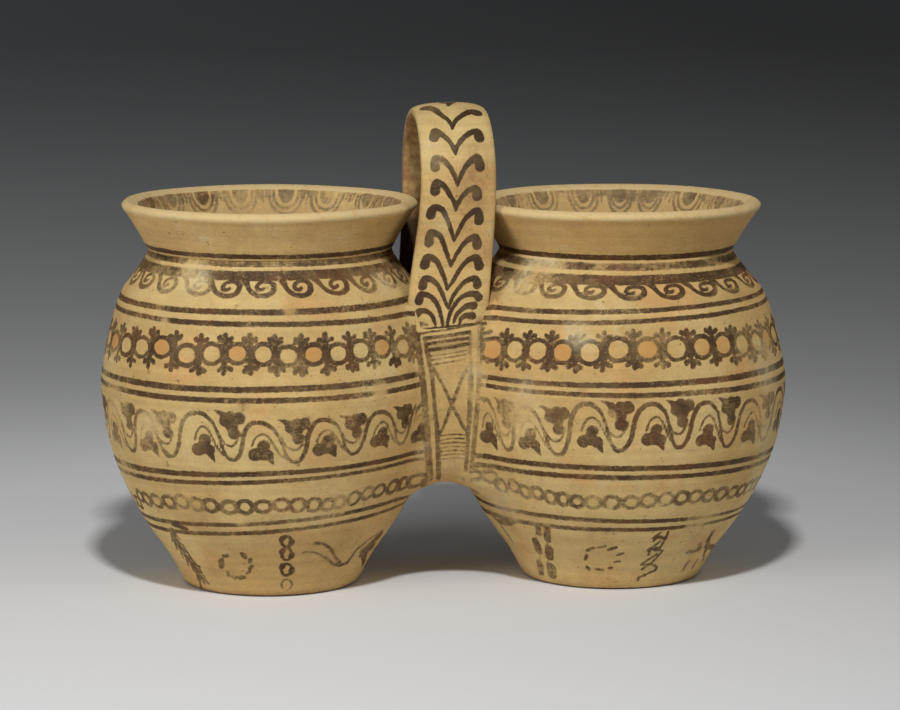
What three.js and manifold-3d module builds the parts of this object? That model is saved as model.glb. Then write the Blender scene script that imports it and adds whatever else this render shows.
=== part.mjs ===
// A hand-made double jar: two wheel-thrown jars luted belly to belly, with a strap handle that
// arches from the front groove to the back one. Millimetres, +Z up, +X from the left jar to the
// right one, -Y to the front. The origin lies under the middle of the outline, on the ground.
import * as THREE from "three";
import { mergeVertices } from "three/addons/utils/BufferGeometryUtils.js";
import Module from "manifold-3d";

const wasm = await Module();
wasm.setup();

// The two jars. Heights are above the ground, radii from the jar's own axis. The collar's rise is
// how far the lip stands above the neck.
const leftJar = {
  name: "left",
  contactRadius: 37,
  footRadius: 41,
  footEdgeHeight: 3,
  bellyRadius: 76.3,
  bellyHeight: 89,
  neckRadius: 54.8,
  neckHeight: 152.5,
  lipRadius: 66.4,
  collarRise: 19.8,
  lean: 0.4,
};
const rightJar = {
  name: "right",
  contactRadius: 38,
  footRadius: 42,
  footEdgeHeight: 3,
  bellyRadius: 78.2,
  bellyHeight: 87,
  neckRadius: 53,
  neckHeight: 150.8,
  lipRadius: 65.4,
  collarRise: 20.1,
  lean: 1.4,
};
const bellyGap = 2;
const wallThickness = 5.5;
const floorThickness = 8;
const innerFloorRadius = 34;
const lipThickness = 3.4;
const lipBevelWidth = 8.4;
const lipBevelDrop = 3.2;
const seamBevel = 2.2;
const slipGap = 0.3;

// The clay web that fills the groove between the bellies, and the strips that face it. Rises and
// drops count from the left belly's widest line, and offsets from the middle of the gap.
const panelThickness = 6;
const panelTopRise = 31;
const panelTopHeight = leftJar.bellyHeight + panelTopRise;
const panelChinDrop = 26;
const panelChinHeight = leftJar.bellyHeight - panelChinDrop;
const webReach = 39.5;
const webRise = 8;
const webTopHeight = panelTopHeight + webRise;
const webBottomDrop = 41.5;
const webBottomHeight = leftJar.bellyHeight - webBottomDrop;
const webOffset = -1.1;
const webArchRadius = 17;
const webArchDepth = 9;
const webValleyRadius = 60;
const webValleyDepth = 2;

// The strap handle. Its reach is how far its middle line stands in front of the jars' axes. It
// springs and crests that far above the left lip.
const strapSpringRise = 11.7;
const strapCrestRise = 44.2;
const strapThickness = 7;
const strapCrown = 1.2;
const strapRootWidth = 37;
const strapCrestWidth = 33.6;
const strapStep = 1.2;
const strapRootReach = webReach - strapThickness / 2 + strapStep;
const strapSpringReach = 32.6;
const strapFrontRootOffset = -0.9;
const strapBackRootOffset = 1.3;
const strapCrestOffset = 3.4;
const strapSkew = 0.8;

// The rise of the strap's lower end across its width, and the strap section's roundness: one is
// an oval, and less is squarer.
const strapRootSlantShare = 0.1;
const strapRoundnessShare = 0.6;

// How finely round stretches are cut.
const turnSteps = 48;
const outerStepsPerKnot = 2;
const innerSteps = 12;
const strapLegSteps = 9;
const strapArchSteps = 16;
const strapSectionSteps = 16;
const webRoundSteps = 40;
const webWidthSteps = 16;
const cutOverrun = 20;
const weldTolerance = 1e-4;

// Outline shares, from the foot to the belly and from the belly to the neck: how far up the
// stretch, and how much of the way from the lower radius to the upper one.
const lowerBodyShares = [[0, 0], [0.13, 0.17], [0.31, 0.47], [0.52, 0.735], [0.74, 0.915], [1, 1]];
const upperBodyShares = [[0.2, 0.05], [0.46, 0.21], [0.68, 0.42], [0.84, 0.745], [0.95, 0.96], [1, 1]];
// The web's outline in side view, from the bottom round the front to the top: share of the reach
// in front of the axes, and share of the way from the web's bottom to its top.
const webOutlineShares = [
  [0, 0], [0.4, 0], [0.7, 0.01], [0.83, 0.045], [0.91, 0.11], [0.96, 0.22],
  [0.99, 0.4], [1, 0.6], [0.985, 0.78], [0.93, 0.9], [0.85, 1],
];

// The jars' axes stand where their bellies are widest; each jar leans about that place.
const axisSpacing = leftJar.bellyRadius + bellyGap + rightJar.bellyRadius;
const width = leftJar.bellyRadius + axisSpacing + rightJar.bellyRadius;
leftJar.axisX = leftJar.bellyRadius - width / 2;
rightJar.axisX = width / 2 - rightJar.bellyRadius;
const gapX = leftJar.axisX + leftJar.bellyRadius + bellyGap / 2;
const jars = [leftJar, rightJar];
for (const jar of jars) {
  jar.lipHeight = jar.neckHeight + jar.collarRise;
}
const strapSpringHeight = leftJar.lipHeight + strapSpringRise;
const overallHeight = leftJar.lipHeight + strapCrestRise;
// The web's block runs from foot to foot, so that the bellies alone bound what is left of it.
const webHalfWidth = axisSpacing / 2 - leftJar.footRadius;

const clay = (color) => new THREE.MeshStandardMaterial({ color, roughness: 0.85, metalness: 0 });
const bodyClay = clay(0xd8bb84);
const rimClay = clay(0xd9bf8c);
const webClay = clay(0xcfae78);
const handleClay = clay(0xdcc28d);

// A closed three.js geometry as a manifold-3d solid.
function solidOf(geometry) {
  const bare = geometry.index ? geometry.toNonIndexed() : geometry.clone();
  bare.deleteAttribute("normal");
  bare.deleteAttribute("uv");
  const merged = mergeVertices(bare, weldTolerance);
  return new wasm.Manifold(
    new wasm.Mesh({
      numProp: 3,
      vertProperties: merged.attributes.position.array,
      triVerts: new Uint32Array(merged.index.array),
    }),
  );
}

function geometryOf(solid) {
  const mesh = solid.getMesh();
  const points = new Float32Array(mesh.numVert * 3);
  for (let i = 0; i < mesh.numVert; i++) {
    points.set(mesh.vertProperties.subarray(i * mesh.numProp, i * mesh.numProp + 3), i * 3);
  }
  const geometry = new THREE.BufferGeometry();
  geometry.setAttribute("position", new THREE.BufferAttribute(points, 3));
  geometry.setIndex(new THREE.BufferAttribute(new Uint32Array(mesh.triVerts), 1));
  geometry.computeVertexNormals();
  return geometry;
}

function piece(name, solid, material) {
  const mesh = new THREE.Mesh(geometryOf(solid), material);
  mesh.name = name;
  return mesh;
}

// A profile of [radius, height] points turned about the jar's axis, and leaned as the jar is.
function turned(profile, jar) {
  const points = profile.map(([radius, height]) => new THREE.Vector2(radius, height));
  const geometry = new THREE.LatheGeometry(points, turnSteps);
  geometry.rotateX(Math.PI / 2);
  const leanPerHeight = jar.lean / jar.neckHeight;
  const shear = new THREE.Matrix4().makeShear(0, 0, 0, 0, leanPerHeight, 0);
  geometry.applyMatrix4(shear);
  geometry.translate(jar.axisX - leanPerHeight * jar.bellyHeight, 0, 0);
  return solidOf(geometry);
}

// The jar's outside from the foot's edge to the neck, as [radius, height] points. Grown makes it
// stand out by that much, for cutting a neighbour clear of it.
function bodyOutline(jar, grown = 0) {
  const lower = lowerBodyShares.map(([up, out]) => [
    jar.footRadius + (jar.bellyRadius - jar.footRadius) * out,
    jar.footEdgeHeight + (jar.bellyHeight - jar.footEdgeHeight) * up,
  ]);
  const upper = upperBodyShares.map(([up, inward]) => [
    jar.bellyRadius + (jar.neckRadius - jar.bellyRadius) * inward,
    jar.bellyHeight + (jar.neckHeight - jar.bellyHeight) * up,
  ]);
  const knots = [...lower, ...upper].map(([r, z]) => new THREE.Vector2(r, z));
  const steps = (knots.length - 1) * outerStepsPerKnot;
  return new THREE.SplineCurve(knots).getPoints(steps).map((p) => [p.x + grown, p.y]);
}

// The hollow's wall, from the neck down to the floor, one wall thickness inside the outline.
function hollowOutline(jar) {
  const outside = bodyOutline(jar);
  const floor = floorThickness + wallThickness;
  const wall = outside
    .filter(([, height]) => height > floor)
    .map(([radius, height]) => new THREE.Vector2(radius - wallThickness, height))
    .reverse();
  const neck = new THREE.Vector2(jar.neckRadius - wallThickness, jar.neckHeight - seamBevel);
  const knots = [neck, ...wall.slice(1)];
  const line = new THREE.SplineCurve(knots).getPoints(innerSteps).map((p) => [p.x, p.y]);
  return [...line, [innerFloorRadius, floorThickness]];
}

function bowl(jar) {
  const profile = [
    [0, 0],
    [jar.contactRadius, 0],
    ...bodyOutline(jar),
    ...hollowOutline(jar),
    [0, floorThickness],
  ];
  return turned(profile, jar);
}

// The flaring collar. Its foot is bevelled to sit on the bowl's bevelled neck.
function collar(jar) {
  const lipTop = jar.lipHeight + lipThickness / 2;
  const underLip = jar.lipHeight - lipThickness;
  const bevelInner = jar.lipRadius - lipBevelWidth;
  const neckBore = jar.neckRadius - wallThickness;
  const seam = jar.neckHeight + slipGap;
  const nose = new THREE.SplineCurve([
    new THREE.Vector2(jar.lipRadius - lipThickness / 2, underLip),
    new THREE.Vector2(jar.lipRadius, jar.lipHeight - lipThickness / 4),
    new THREE.Vector2(jar.lipRadius - lipThickness / 4, lipTop - lipThickness / 4),
    new THREE.Vector2(jar.lipRadius - lipThickness, lipTop),
    new THREE.Vector2(bevelInner, lipTop - lipBevelDrop),
    new THREE.Vector2((bevelInner + neckBore) / 2, (underLip + seam) / 2),
    new THREE.Vector2(neckBore, seam),
  ]);
  const loop = [
    [neckBore, seam - seamBevel],
    [jar.neckRadius, seam],
    ...nose.getPoints(innerSteps).map((p) => [p.x, p.y]),
    [neckBore, seam - seamBevel],
  ];
  return turned(loop, jar);
}

// The whole outside of a jar as one solid plug, grown by the slip gap, to cut its neighbours.
function jarPlug(jar) {
  const mouth = jar.neckHeight + cutOverrun;
  const profile = [
    [0, 0],
    [jar.contactRadius + slipGap, 0],
    ...bodyOutline(jar, slipGap),
    [jar.lipRadius + slipGap, jar.lipHeight],
    [jar.lipRadius + slipGap, mouth],
    [0, mouth],
  ];
  return turned(profile, jar);
}

// A closed solid from rings of points, each ring with the same count, capped at both ends.
function loft(rings) {
  const count = rings[0].length;
  const positions = [];
  const at = (ring, i) => rings[ring][i % count];
  const face = (a, b, c) => positions.push(...a, ...b, ...c);
  for (let ring = 0; ring < rings.length - 1; ring++) {
    for (let i = 0; i < count; i++) {
      face(at(ring, i), at(ring + 1, i + 1), at(ring, i + 1));
      face(at(ring, i), at(ring + 1, i), at(ring + 1, i + 1));
    }
  }
  const last = rings.length - 1;
  for (let i = 1; i < count - 1; i++) {
    face(at(0, 0), at(0, i), at(0, i + 1));
    face(at(last, 0), at(last, i + 1), at(last, i));
  }
  const geometry = new THREE.BufferGeometry();
  geometry.setAttribute("position", new THREE.Float32BufferAttribute(positions, 3));
  return geometry;
}

// The web's outline as [reach in front, height], and the same line moved inward.
function webOutline(inset = 0) {
  const knots = webOutlineShares.map(([out, up]) => new THREE.Vector2(
    Math.max(webReach * out - inset, 0),
    webBottomHeight + (webTopHeight - webBottomHeight) * up,
  ));
  return new THREE.SplineCurve(knots);
}

// How far an edge has left its middle height at a place across it: round at first, then level.
function archSag(x, radius, depth) {
  return depth * (1 - Math.exp(-(x * x) / (2 * radius * depth)));
}

// The web: an oval disc between the bellies whose underside is an arch and whose top is a valley.
function webBlock() {
  const half = webOutline().getPoints(webRoundSteps / 2);
  const front = half.map((p) => [-p.x, p.y]);
  const back = half.slice(1).reverse().map((p) => [p.x, p.y]);
  const round = [...front, ...back];
  const middle = (webTopHeight + webBottomHeight) / 2;
  const halfHeight = (webTopHeight - webBottomHeight) / 2;
  const rings = [];
  for (let i = 0; i <= webWidthSteps; i++) {
    const x = webHalfWidth * ((2 * i) / webWidthSteps - 1);
    rings.push(round.map(([y, z]) => {
      const nearEdge = ((z - middle) / halfHeight) ** 4;
      const drop = archSag(x, webArchRadius, webArchDepth) * nearEdge;
      const rise = archSag(x, webValleyRadius, webValleyDepth) * nearEdge;
      return [gapX + webOffset + x, y, z < middle ? z - drop : z + rise];
    }));
  }
  return solidOf(loft(rings));
}

// Everything in front of the line one panel thickness inside the web's face. Below the chin the
// line runs straight down.
function panelStrip(grown = 0) {
  const inset = panelThickness + grown;
  const line = webOutline(inset).getPoints(webRoundSteps / 2).filter((p) => p.y > panelChinHeight);
  const outer = -(webReach + cutOverrun);
  const bottom = webBottomHeight - cutOverrun;
  const top = webTopHeight + cutOverrun;
  const shape = new THREE.Shape();
  shape.moveTo(outer, bottom);
  shape.lineTo(-line[0].x, bottom);
  line.forEach((p) => shape.lineTo(-p.x, p.y));
  shape.lineTo(-line[line.length - 1].x, top);
  shape.lineTo(outer, top);
  const breadth = webHalfWidth + cutOverrun;
  const geometry = new THREE.ExtrudeGeometry(shape, { depth: 2 * breadth, bevelEnabled: false });
  geometry.applyMatrix4(new THREE.Matrix4().makeBasis(
    new THREE.Vector3(0, 1, 0),
    new THREE.Vector3(0, 0, 1),
    new THREE.Vector3(1, 0, 0),
  ));
  geometry.translate(gapX + webOffset - breadth, 0, 0);
  return solidOf(geometry);
}

// A box over everything above the slanted line where the strap's end meets the panel.
function aboveRoot(drop = 0) {
  const size = 2 * overallHeight;
  const geometry = new THREE.BoxGeometry(size, size, size);
  geometry.translate(0, 0, size / 2);
  geometry.rotateY(-Math.atan(strapRootSlantShare));
  geometry.translate(0, 0, panelTopHeight - drop);
  return solidOf(geometry);
}

// The strap's middle line in side view, from the front root over the crest to the back root.
function strapLine() {
  const archHeight = overallHeight - strapThickness / 2 - strapCrown - strapSpringHeight;
  const rootHeight = panelTopHeight - strapThickness;
  const line = [];
  for (let i = 0; i < strapLegSteps; i++) {
    const up = i / strapLegSteps;
    const bow = (1 - up) ** 2;
    line.push([
      -strapSpringReach - (strapRootReach - strapSpringReach) * bow,
      rootHeight + (strapSpringHeight - rootHeight) * up,
    ]);
  }
  for (let i = 0; i <= strapArchSteps; i++) {
    const angle = (Math.PI * i) / strapArchSteps;
    line.push([
      -strapSpringReach * Math.cos(angle),
      strapSpringHeight + archHeight * Math.sin(angle),
    ]);
  }
  const back = line.slice(0, strapLegSteps).reverse().map(([y, z]) => [-y, z]);
  return [...line, ...back];
}

const smooth = (t) => t * t * (3 - 2 * t);

// The strap: rounded, crowned sections along its line, wider at the roots than at the crest.
// Grown makes it larger all round by that much, for cutting its seat.
function strapBlock(grown = 0) {
  const line = strapLine();
  const rootHeight = line[0][1];
  const rings = line.map(([y, z], i) => {
    const [y0, z0] = line[Math.max(i - 1, 0)];
    const [y1, z1] = line[Math.min(i + 1, line.length - 1)];
    const along = new THREE.Vector2(y1 - y0, z1 - z0).normalize();
    const climb = smooth(Math.min((z - rootHeight) / (strapSpringHeight - rootHeight), 1));
    const rootOffset = y < 0 ? strapFrontRootOffset : strapBackRootOffset;
    const backward = THREE.MathUtils.clamp(y / strapSpringReach, -1, 1);
    const springOffset = strapCrestOffset - strapSkew * backward;
    const middleX = gapX + rootOffset + (springOffset - rootOffset) * climb;
    const halfWidth = (strapRootWidth + (strapCrestWidth - strapRootWidth) * climb) / 2 + grown;
    const halfThickness = strapThickness / 2 + grown;
    return Array.from({ length: strapSectionSteps }, (_, k) => {
      const angle = (2 * Math.PI * k) / strapSectionSteps;
      const c = Math.cos(angle);
      const s = Math.sin(angle);
      const across = Math.sign(c) * Math.abs(c) ** strapRoundnessShare * halfWidth;
      const crown = s > 0 ? strapCrown * (1 - (across / halfWidth) ** 2) : 0;
      const out = Math.sign(s) * Math.abs(s) ** strapRoundnessShare * halfThickness + crown;
      return [middleX + across, y - along.y * out, z + along.x * out];
    });
  });
  return solidOf(loft(rings));
}

const plugs = jars.map(jarPlug);
const clearOfJars = (solid) => plugs.reduce((rest, plug) => rest.subtract(plug), solid);
const mirrored = (solid) => solid.mirror([0, 1, 0]);

const web = clearOfJars(webBlock());
const below = (solid, gap = slipGap) => solid.subtract(aboveRoot(gap));
const frontStrip = panelStrip();
const frontSeat = below(panelStrip(slipGap), 0);
const frontPanel = below(web.intersect(frontStrip));
const backPanel = below(web.intersect(mirrored(frontStrip)));
const seats = [frontSeat, mirrored(frontSeat), strapBlock(slipGap)];
const webCore = seats.reduce((rest, seat) => rest.subtract(seat), web);
const strap = clearOfJars(strapBlock()).intersect(aboveRoot());

const vessel = new THREE.Group();
for (const jar of jars) {
  vessel.add(piece(`${jar.name}_bowl`, bowl(jar), bodyClay));
  vessel.add(piece(`${jar.name}_collar`, collar(jar), rimClay));
}
vessel.add(piece("bridge_web", webCore, webClay));
vessel.add(piece("front_panel", frontPanel, webClay));
vessel.add(piece("back_panel", backPanel, webClay));
vessel.add(piece("handle_strap", strap, handleClay));

export default vessel;
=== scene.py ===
import math

import bpy
import numpy as np
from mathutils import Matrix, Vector


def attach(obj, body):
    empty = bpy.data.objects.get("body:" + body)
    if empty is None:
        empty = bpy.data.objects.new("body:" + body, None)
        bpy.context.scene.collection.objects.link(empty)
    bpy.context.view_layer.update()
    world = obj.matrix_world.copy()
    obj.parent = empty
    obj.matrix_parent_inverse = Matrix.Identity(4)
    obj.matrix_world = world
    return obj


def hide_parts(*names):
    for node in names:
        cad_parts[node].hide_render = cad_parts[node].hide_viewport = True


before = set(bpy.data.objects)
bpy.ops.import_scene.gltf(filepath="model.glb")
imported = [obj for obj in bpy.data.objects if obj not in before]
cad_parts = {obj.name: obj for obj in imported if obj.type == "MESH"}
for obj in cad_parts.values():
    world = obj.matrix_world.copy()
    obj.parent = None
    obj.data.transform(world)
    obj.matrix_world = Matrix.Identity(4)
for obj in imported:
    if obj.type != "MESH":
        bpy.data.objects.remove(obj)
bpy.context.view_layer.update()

# A painted double jar of hand-thrown clay. Shapes are worked out in millimetres, in the frame's
# axes, and are written to the meshes in metres. Angles on a jar start at +X; the front is -90.
MM = 0.001
TURN = 2 * math.pi
# A distance that no paint reaches, and a height that no line round a jar reaches.
FAR = 3.0
NO_LINE = 200.0

LEFT = dict(name="left", contact=37, foot=41, foot_edge=3, belly=76.3, belly_z=89, neck=54.8,
            neck_z=152.5, lip=66.4, lip_z=172.3, lean=0.4, axis=-79.2, seed=3)
RIGHT = dict(name="right", contact=38, foot=42, foot_edge=3, belly=78.2, belly_z=87, neck=53,
             neck_z=150.8, lip=65.4, lip_z=170.9, lean=1.4, axis=77.3, seed=11)
GAP_X = -1.9
WALL = 5.5
FLOOR_THICKNESS = 8
INNER_FLOOR = 34
LIP_THICKNESS = 3.4
LIP_BEVEL_WIDTH = 8.4
LIP_BEVEL_DROP = 3.2
SEAM_BEVEL = 2.2
# The foot's lowest edge curls out and up.
FOOT_CURL_OUT = 2.2
FOOT_CURL_UP = 0.5
# How deep the hand-thrown walls are uneven: broad swells, lobes and throwing rings.
SWELL, LOBE, RINGS = .22, .16, .05

# Outline shares from the foot to the belly and from the belly to the neck, as in the solids.
LOWER_SHARES = ((0, 0), (.13, .17), (.31, .47), (.52, .735), (.74, .915), (1, 1))
UPPER_SHARES = ((.2, .05), (.46, .21), (.68, .42), (.84, .745), (.95, .96), (1, 1))
WEB_SHARES = ((0, 0), (.4, 0), (.7, .01), (.83, .045), (.91, .11), (.96, .22), (.99, .4),
              (1, .6), (.985, .78), (.93, .9), (.85, 1))
WEB = dict(reach=39.5, bottom=47.5, top=128, arch_radius=17, arch_depth=9, valley_radius=60,
           valley_depth=2, x=-3, centre_z=88)
STRAP = dict(root_z=113, spring_z=184, crest_z=216.5, thickness=7, crown=1.2, root_width=37,
             crest_width=33.6, root_reach=37.2, spring_reach=32.6, front_x=-2.8, back_x=-0.6,
             crest_x=1.5, skew=0.8, end_z=120, slant=0.1, roundness=0.6)

# The photograph's camera, in millimetres, and its frame and focal length in pixels.
CAMERA_PLACE = np.array((-161.88, -1561.51, 337.04))
CAMERA_AIM = np.array((2.24, 0, 101.60))
FRAME_WIDTH = 900
FRAME_HEIGHT = 710
FOCAL_PX = 3500
SENSOR_MM = 36
# A pixel coordinate far off the frame.
OFF_FRAME = 1e6


def spline(knots, steps):
    pts = np.array(knots, float)
    t = np.linspace(0, len(pts) - 1, steps)
    i = np.minimum(t.astype(int), len(pts) - 2)
    w = (t - i)[:, None]
    a, b, c = pts[np.maximum(i - 1, 0)], pts[i], pts[i + 1]
    d = pts[np.minimum(i + 2, len(pts) - 1)]
    u, v = (c - a) / 2, (d - b) / 2
    return (2 * b - 2 * c + u + v) * w**3 + (3 * c - 3 * b - 2 * u - v) * w**2 + u * w + b


def smooth(t):
    t = np.clip(t, 0, 1)
    return t * t * (3 - 2 * t)


def soft_min(a, b, k):
    h = np.maximum(k - np.abs(a - b), 0) / k
    return np.minimum(a, b) - h * h * k / 4


def travelled(a, b):
    """The way gone along a flat line at each of its points."""
    return np.concatenate([[0], np.cumsum(np.hypot(np.diff(a), np.diff(b)))])


def spaced(low, high, spacing):
    """Values from low to high whose steps follow spacing(value)."""
    fine = np.linspace(low, high, 4000)
    gain = np.concatenate([[0], np.cumsum(np.diff(fine) / spacing((fine[1:] + fine[:-1]) / 2))])
    count = max(int(math.ceil(gain[-1])), 1)
    return np.interp(np.linspace(0, gain[-1], count + 1), gain, fine)


# The jars' outlines: radius and arc length against height.
for jar in (LEFT, RIGHT):
    knots = [(jar["foot"] + (jar["belly"] - jar["foot"]) * out,
              jar["foot_edge"] + (jar["belly_z"] - jar["foot_edge"]) * up)
             for up, out in LOWER_SHARES]
    knots += [(jar["belly"] + (jar["neck"] - jar["belly"]) * inward,
               jar["belly_z"] + (jar["neck_z"] - jar["belly_z"]) * up)
              for up, inward in UPPER_SHARES]
    body = spline(knots, 1201)
    jar["r"] = np.concatenate([[jar["contact"], jar["contact"] + FOOT_CURL_OUT], body[:, 0]])
    jar["z"] = np.concatenate([[0, FOOT_CURL_UP], body[:, 1]])
    jar["s"] = travelled(jar["r"], jar["z"])


def radius_at(jar, z):
    return np.interp(z, jar["z"], jar["r"])


def arc_at(jar, z):
    return np.interp(z, jar["z"], jar["s"])


def axis_at(jar, z):
    return jar["axis"] + jar["lean"] / jar["neck_z"] * (z - jar["belly_z"])


def unevenness(jar, theta, z):
    """How far the hand-thrown wall falls short of a true turned one."""
    p = jar["seed"]
    swell = 0.5 + 0.5 * np.sin(2 * theta + z / 31 + p)
    lobe = 0.5 + 0.5 * np.sin(3 * theta - z / 23 + 2 * p)
    rings = np.sin(z * 1.07 + np.sin(z / 9 + p) * 1.7 + 0.25 * np.sin(theta + p))
    return -SWELL * swell - LOBE * lobe - RINGS * (1 + rings)


def on_jar_wall(jar, theta, z, r):
    x = axis_at(jar, z) + r * np.cos(theta)
    return np.stack([x, r * np.sin(theta), z + 0 * theta], -1)


# Meshes.
class Shell:
    """Grids of points joined into one closed mesh."""

    def __init__(self):
        self.points = []
        self.faces = []
        self.count = 0

    def grid(self, points):
        rows, columns = points.shape[:2]
        first = self.count
        self.points.append(points.reshape(-1, 3))
        self.count += rows * columns
        return first + np.arange(rows * columns).reshape(rows, columns)

    def fill(self, ids, around=False):
        """Quads between neighbouring rows, facing out where columns turn left going up."""
        if around:
            ids = np.concatenate([ids, ids[:, :1]], 1)
        a, b, c, d = ids[:-1, :-1], ids[:-1, 1:], ids[1:, 1:], ids[1:, :-1]
        self.faces.append(np.stack([a, b, c, d], -1).reshape(-1, 4))

    def zip(self, low, low_at, high, high_at):
        """Triangles between two rings with different counts, matched by their angle."""
        m, n = len(low), len(high)
        low_ends, high_ends = [np.append(at, (at[0] + TURN, math.inf)) for at in (low_at, high_at)]
        i = j = 0
        out = []
        while i < m or j < n:
            a, b = low[i % m], high[j % n]
            if low_ends[i + 1] <= high_ends[j + 1]:
                i += 1
                out.append((a, low[i % m], b, b))
            else:
                j += 1
                out.append((a, high[j % n], b, b))
        self.faces.append(np.array(out))

    def hub(self, ring, jar, z, flip=False):
        """Triangles from a ring to a point on the jar's axis, turned over by flip."""
        middle = self.grid(np.array([[(axis_at(jar, z), 0, z)]]))[0, 0]
        pairs = [(b, a) if flip else (a, b) for a, b in zip(ring, np.roll(ring, -1))]
        self.faces.append(np.array([(a, b, middle, middle) for a, b in pairs]))

    def cap(self, ring, flip=False):
        """Triangles across a ring from its first point, turned over by flip."""
        pairs = [(b, a) if flip else (a, b) for a, b in zip(ring[1:], ring[2:])]
        self.faces.append(np.array([(ring[0], a, b, b) for a, b in pairs]))

    def make(self, name, material, slot, node, layers):
        points = np.concatenate(self.points) * MM
        quads = np.concatenate(self.faces)
        faces = [tuple(q[:3]) if q[2] == q[3] else tuple(q) for q in quads.tolist()]
        mesh = bpy.data.meshes.new(name)
        mesh.from_pydata(points.tolist(), [], faces)
        mesh.polygons.foreach_set("use_smooth", np.ones(len(faces), bool))
        for key, values in layers.items():
            layer = mesh.attributes.new(key, "FLOAT", "POINT")
            layer.data.foreach_set("value", np.asarray(values, np.float32))
        mesh.materials.append(material)
        mesh.update()
        obj = bpy.data.objects.new(name, mesh)
        bpy.context.scene.collection.objects.link(obj)
        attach(obj, "root")
        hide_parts(node)


# Painting. A stroke is a chain of round dabs.
FORWARD = (CAMERA_AIM - CAMERA_PLACE) / np.linalg.norm(CAMERA_AIM - CAMERA_PLACE)
RIGHTWARD = np.cross(FORWARD, (0, 0, 1))
RIGHTWARD /= np.linalg.norm(RIGHTWARD)
UPWARD = np.cross(RIGHTWARD, FORWARD)


def to_pixels(points):
    rel = points - CAMERA_PLACE
    depth = rel @ FORWARD
    return np.stack([FRAME_WIDTH / 2 + FOCAL_PX * (rel @ RIGHTWARD) / depth,
                     FRAME_HEIGHT / 2 - FOCAL_PX * (rel @ UPWARD) / depth], -1)


class Surface:
    """Points, each with two coordinates along the surface and the millimetres that one unit of
    the first is worth there. The first is an angle where the surface turns round an axis."""

    def __init__(self, points, u, v, worth, seen=None, turning=True):
        self.u, self.v, self.worth = u.ravel(), v.ravel(), worth.ravel()
        self.turning = turning
        self.ink, self.accent = np.full((2, self.u.size), FAR)
        self.tone, self.worn, self.veil = np.zeros((3, self.u.size))
        self.pixels = to_pixels(points.reshape(-1, 3))
        if seen is not None:
            self.pixels[~seen.ravel()] = OFF_FRAME
        self.strokes = []
        self.spots = []

    def layers(self, height):
        return [self.ink, self.tone, self.accent, height, self.worn, self.veil]

    def at(self, px, py):
        """The surface coordinates that the photograph shows at a pixel."""
        gap = np.hypot(self.pixels[:, 0] - px, self.pixels[:, 1] - py)
        near = np.argpartition(gap, 4)[:4]
        weight = 1 / (gap[near] + 0.05)
        weight /= weight.sum()
        return float(self.u[near] @ weight), float(self.v[near] @ weight)

    def worth_at(self, u, v):
        return float(self.worth[np.argmin(np.abs(self.v - v) + 1e-3 * np.abs(self.u - u))])

    def across(self, u):
        """The millimetres from u to each point."""
        du = self.u - u
        if self.turning:
            du = (du + math.pi) % TURN - math.pi
        return du * self.worth

    def dab(self, line, halves, tone=0.0, layer="ink"):
        """One stroke along points (u, v) with half widths in mm."""
        self.strokes.append((line, halves, tone, layer))
        line = np.array(line, float)
        cu, cv = line.mean(0)
        worth = self.worth_at(cu, cv)
        halves = np.broadcast_to(np.array(halves, float), len(line))
        x, y = self.across(cu), self.v - cv
        lx, ly = (line[:, 0] - cu) * worth, line[:, 1] - cv
        reach = halves.max() + FAR
        near = np.nonzero((x > lx.min() - reach) & (x < lx.max() + reach)
                          & (y > ly.min() - reach) & (y < ly.max() + reach))[0]
        if not len(near):
            return
        x, y = x[near], y[near]
        best = np.full(len(near), FAR)
        for k in range(max(len(line) - 1, 1)):
            ax, ay = lx[k], ly[k]
            m = min(k + 1, len(line) - 1)
            dx, dy = lx[m] - ax, ly[m] - ay
            t = np.clip(((x - ax) * dx + (y - ay) * dy) / (dx * dx + dy * dy + 1e-9), 0, 1)
            away = np.hypot(x - ax - t * dx, y - ay - t * dy)
            best = np.minimum(best, away - halves[k] - t * (halves[m] - halves[k]))
        held = getattr(self, layer)
        if layer == "ink":
            closer = best < held[near]
            self.tone[near[closer]] = tone
        held[near] = np.minimum(held[near], best)

    def spot(self, u, v, radius, amount, layer):
        """A soft round patch of wear, or of the veil layer: pale deposits, stains, painted shade
        and painted light.
        """
        self.spots.append((u, v, radius, amount, layer))
        away = np.hypot(self.across(u), self.v - v)
        held = getattr(self, layer)
        held += amount * smooth(1 - away / radius)

    def shape(self, cu, cv, line, halves, tone=0.0, layer="ink"):
        """A stroke given in mm about a centre."""
        worth = self.worth_at(cu, cv)
        self.dab([(cu + x / worth, cv + y) for x, y in line], halves, tone, layer)

    def brush(self, pixels, halves, tone=0.0):
        """A stroke along pixels of the photograph."""
        self.dab([self.at(px, py) for px, py in pixels], halves, tone)

    def patches(self, spots):
        """Patches about pixels of the photograph."""
        for px, py, radius, amount, layer in spots:
            self.spot(*self.at(px, py), radius, amount, layer)

    def repeat(self, other):
        """The strokes and patches of another surface with the same coordinates."""
        for stroke in other.strokes:
            self.dab(*stroke)
        for spot in other.spots:
            self.spot(*spot)


def oval(rx, ry, start=0, end=360, steps=20):
    a = np.radians(np.linspace(start, end, steps + 1))
    return [(rx * math.cos(t), ry * math.sin(t)) for t in a]


def shaky(rng, line, size):
    return [(x + rng.normal(0, size), y + rng.normal(0, size)) for x, y in line]


def spread(surface, pixels, count):
    """Motifs seen at pixels of the photograph, then even ones round the hidden rest of the jar:
    their angles, and the heights of the seen ones."""
    seen = [surface.at(*pixel) for pixel in pixels]
    angles = sorted(u for u, _ in seen)
    left = count - len(seen)
    step = (TURN - (angles[-1] - angles[0])) / (left + 1)
    return angles + [angles[-1] + step * (k + 1) for k in range(left)], [v for _, v in seen]


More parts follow.
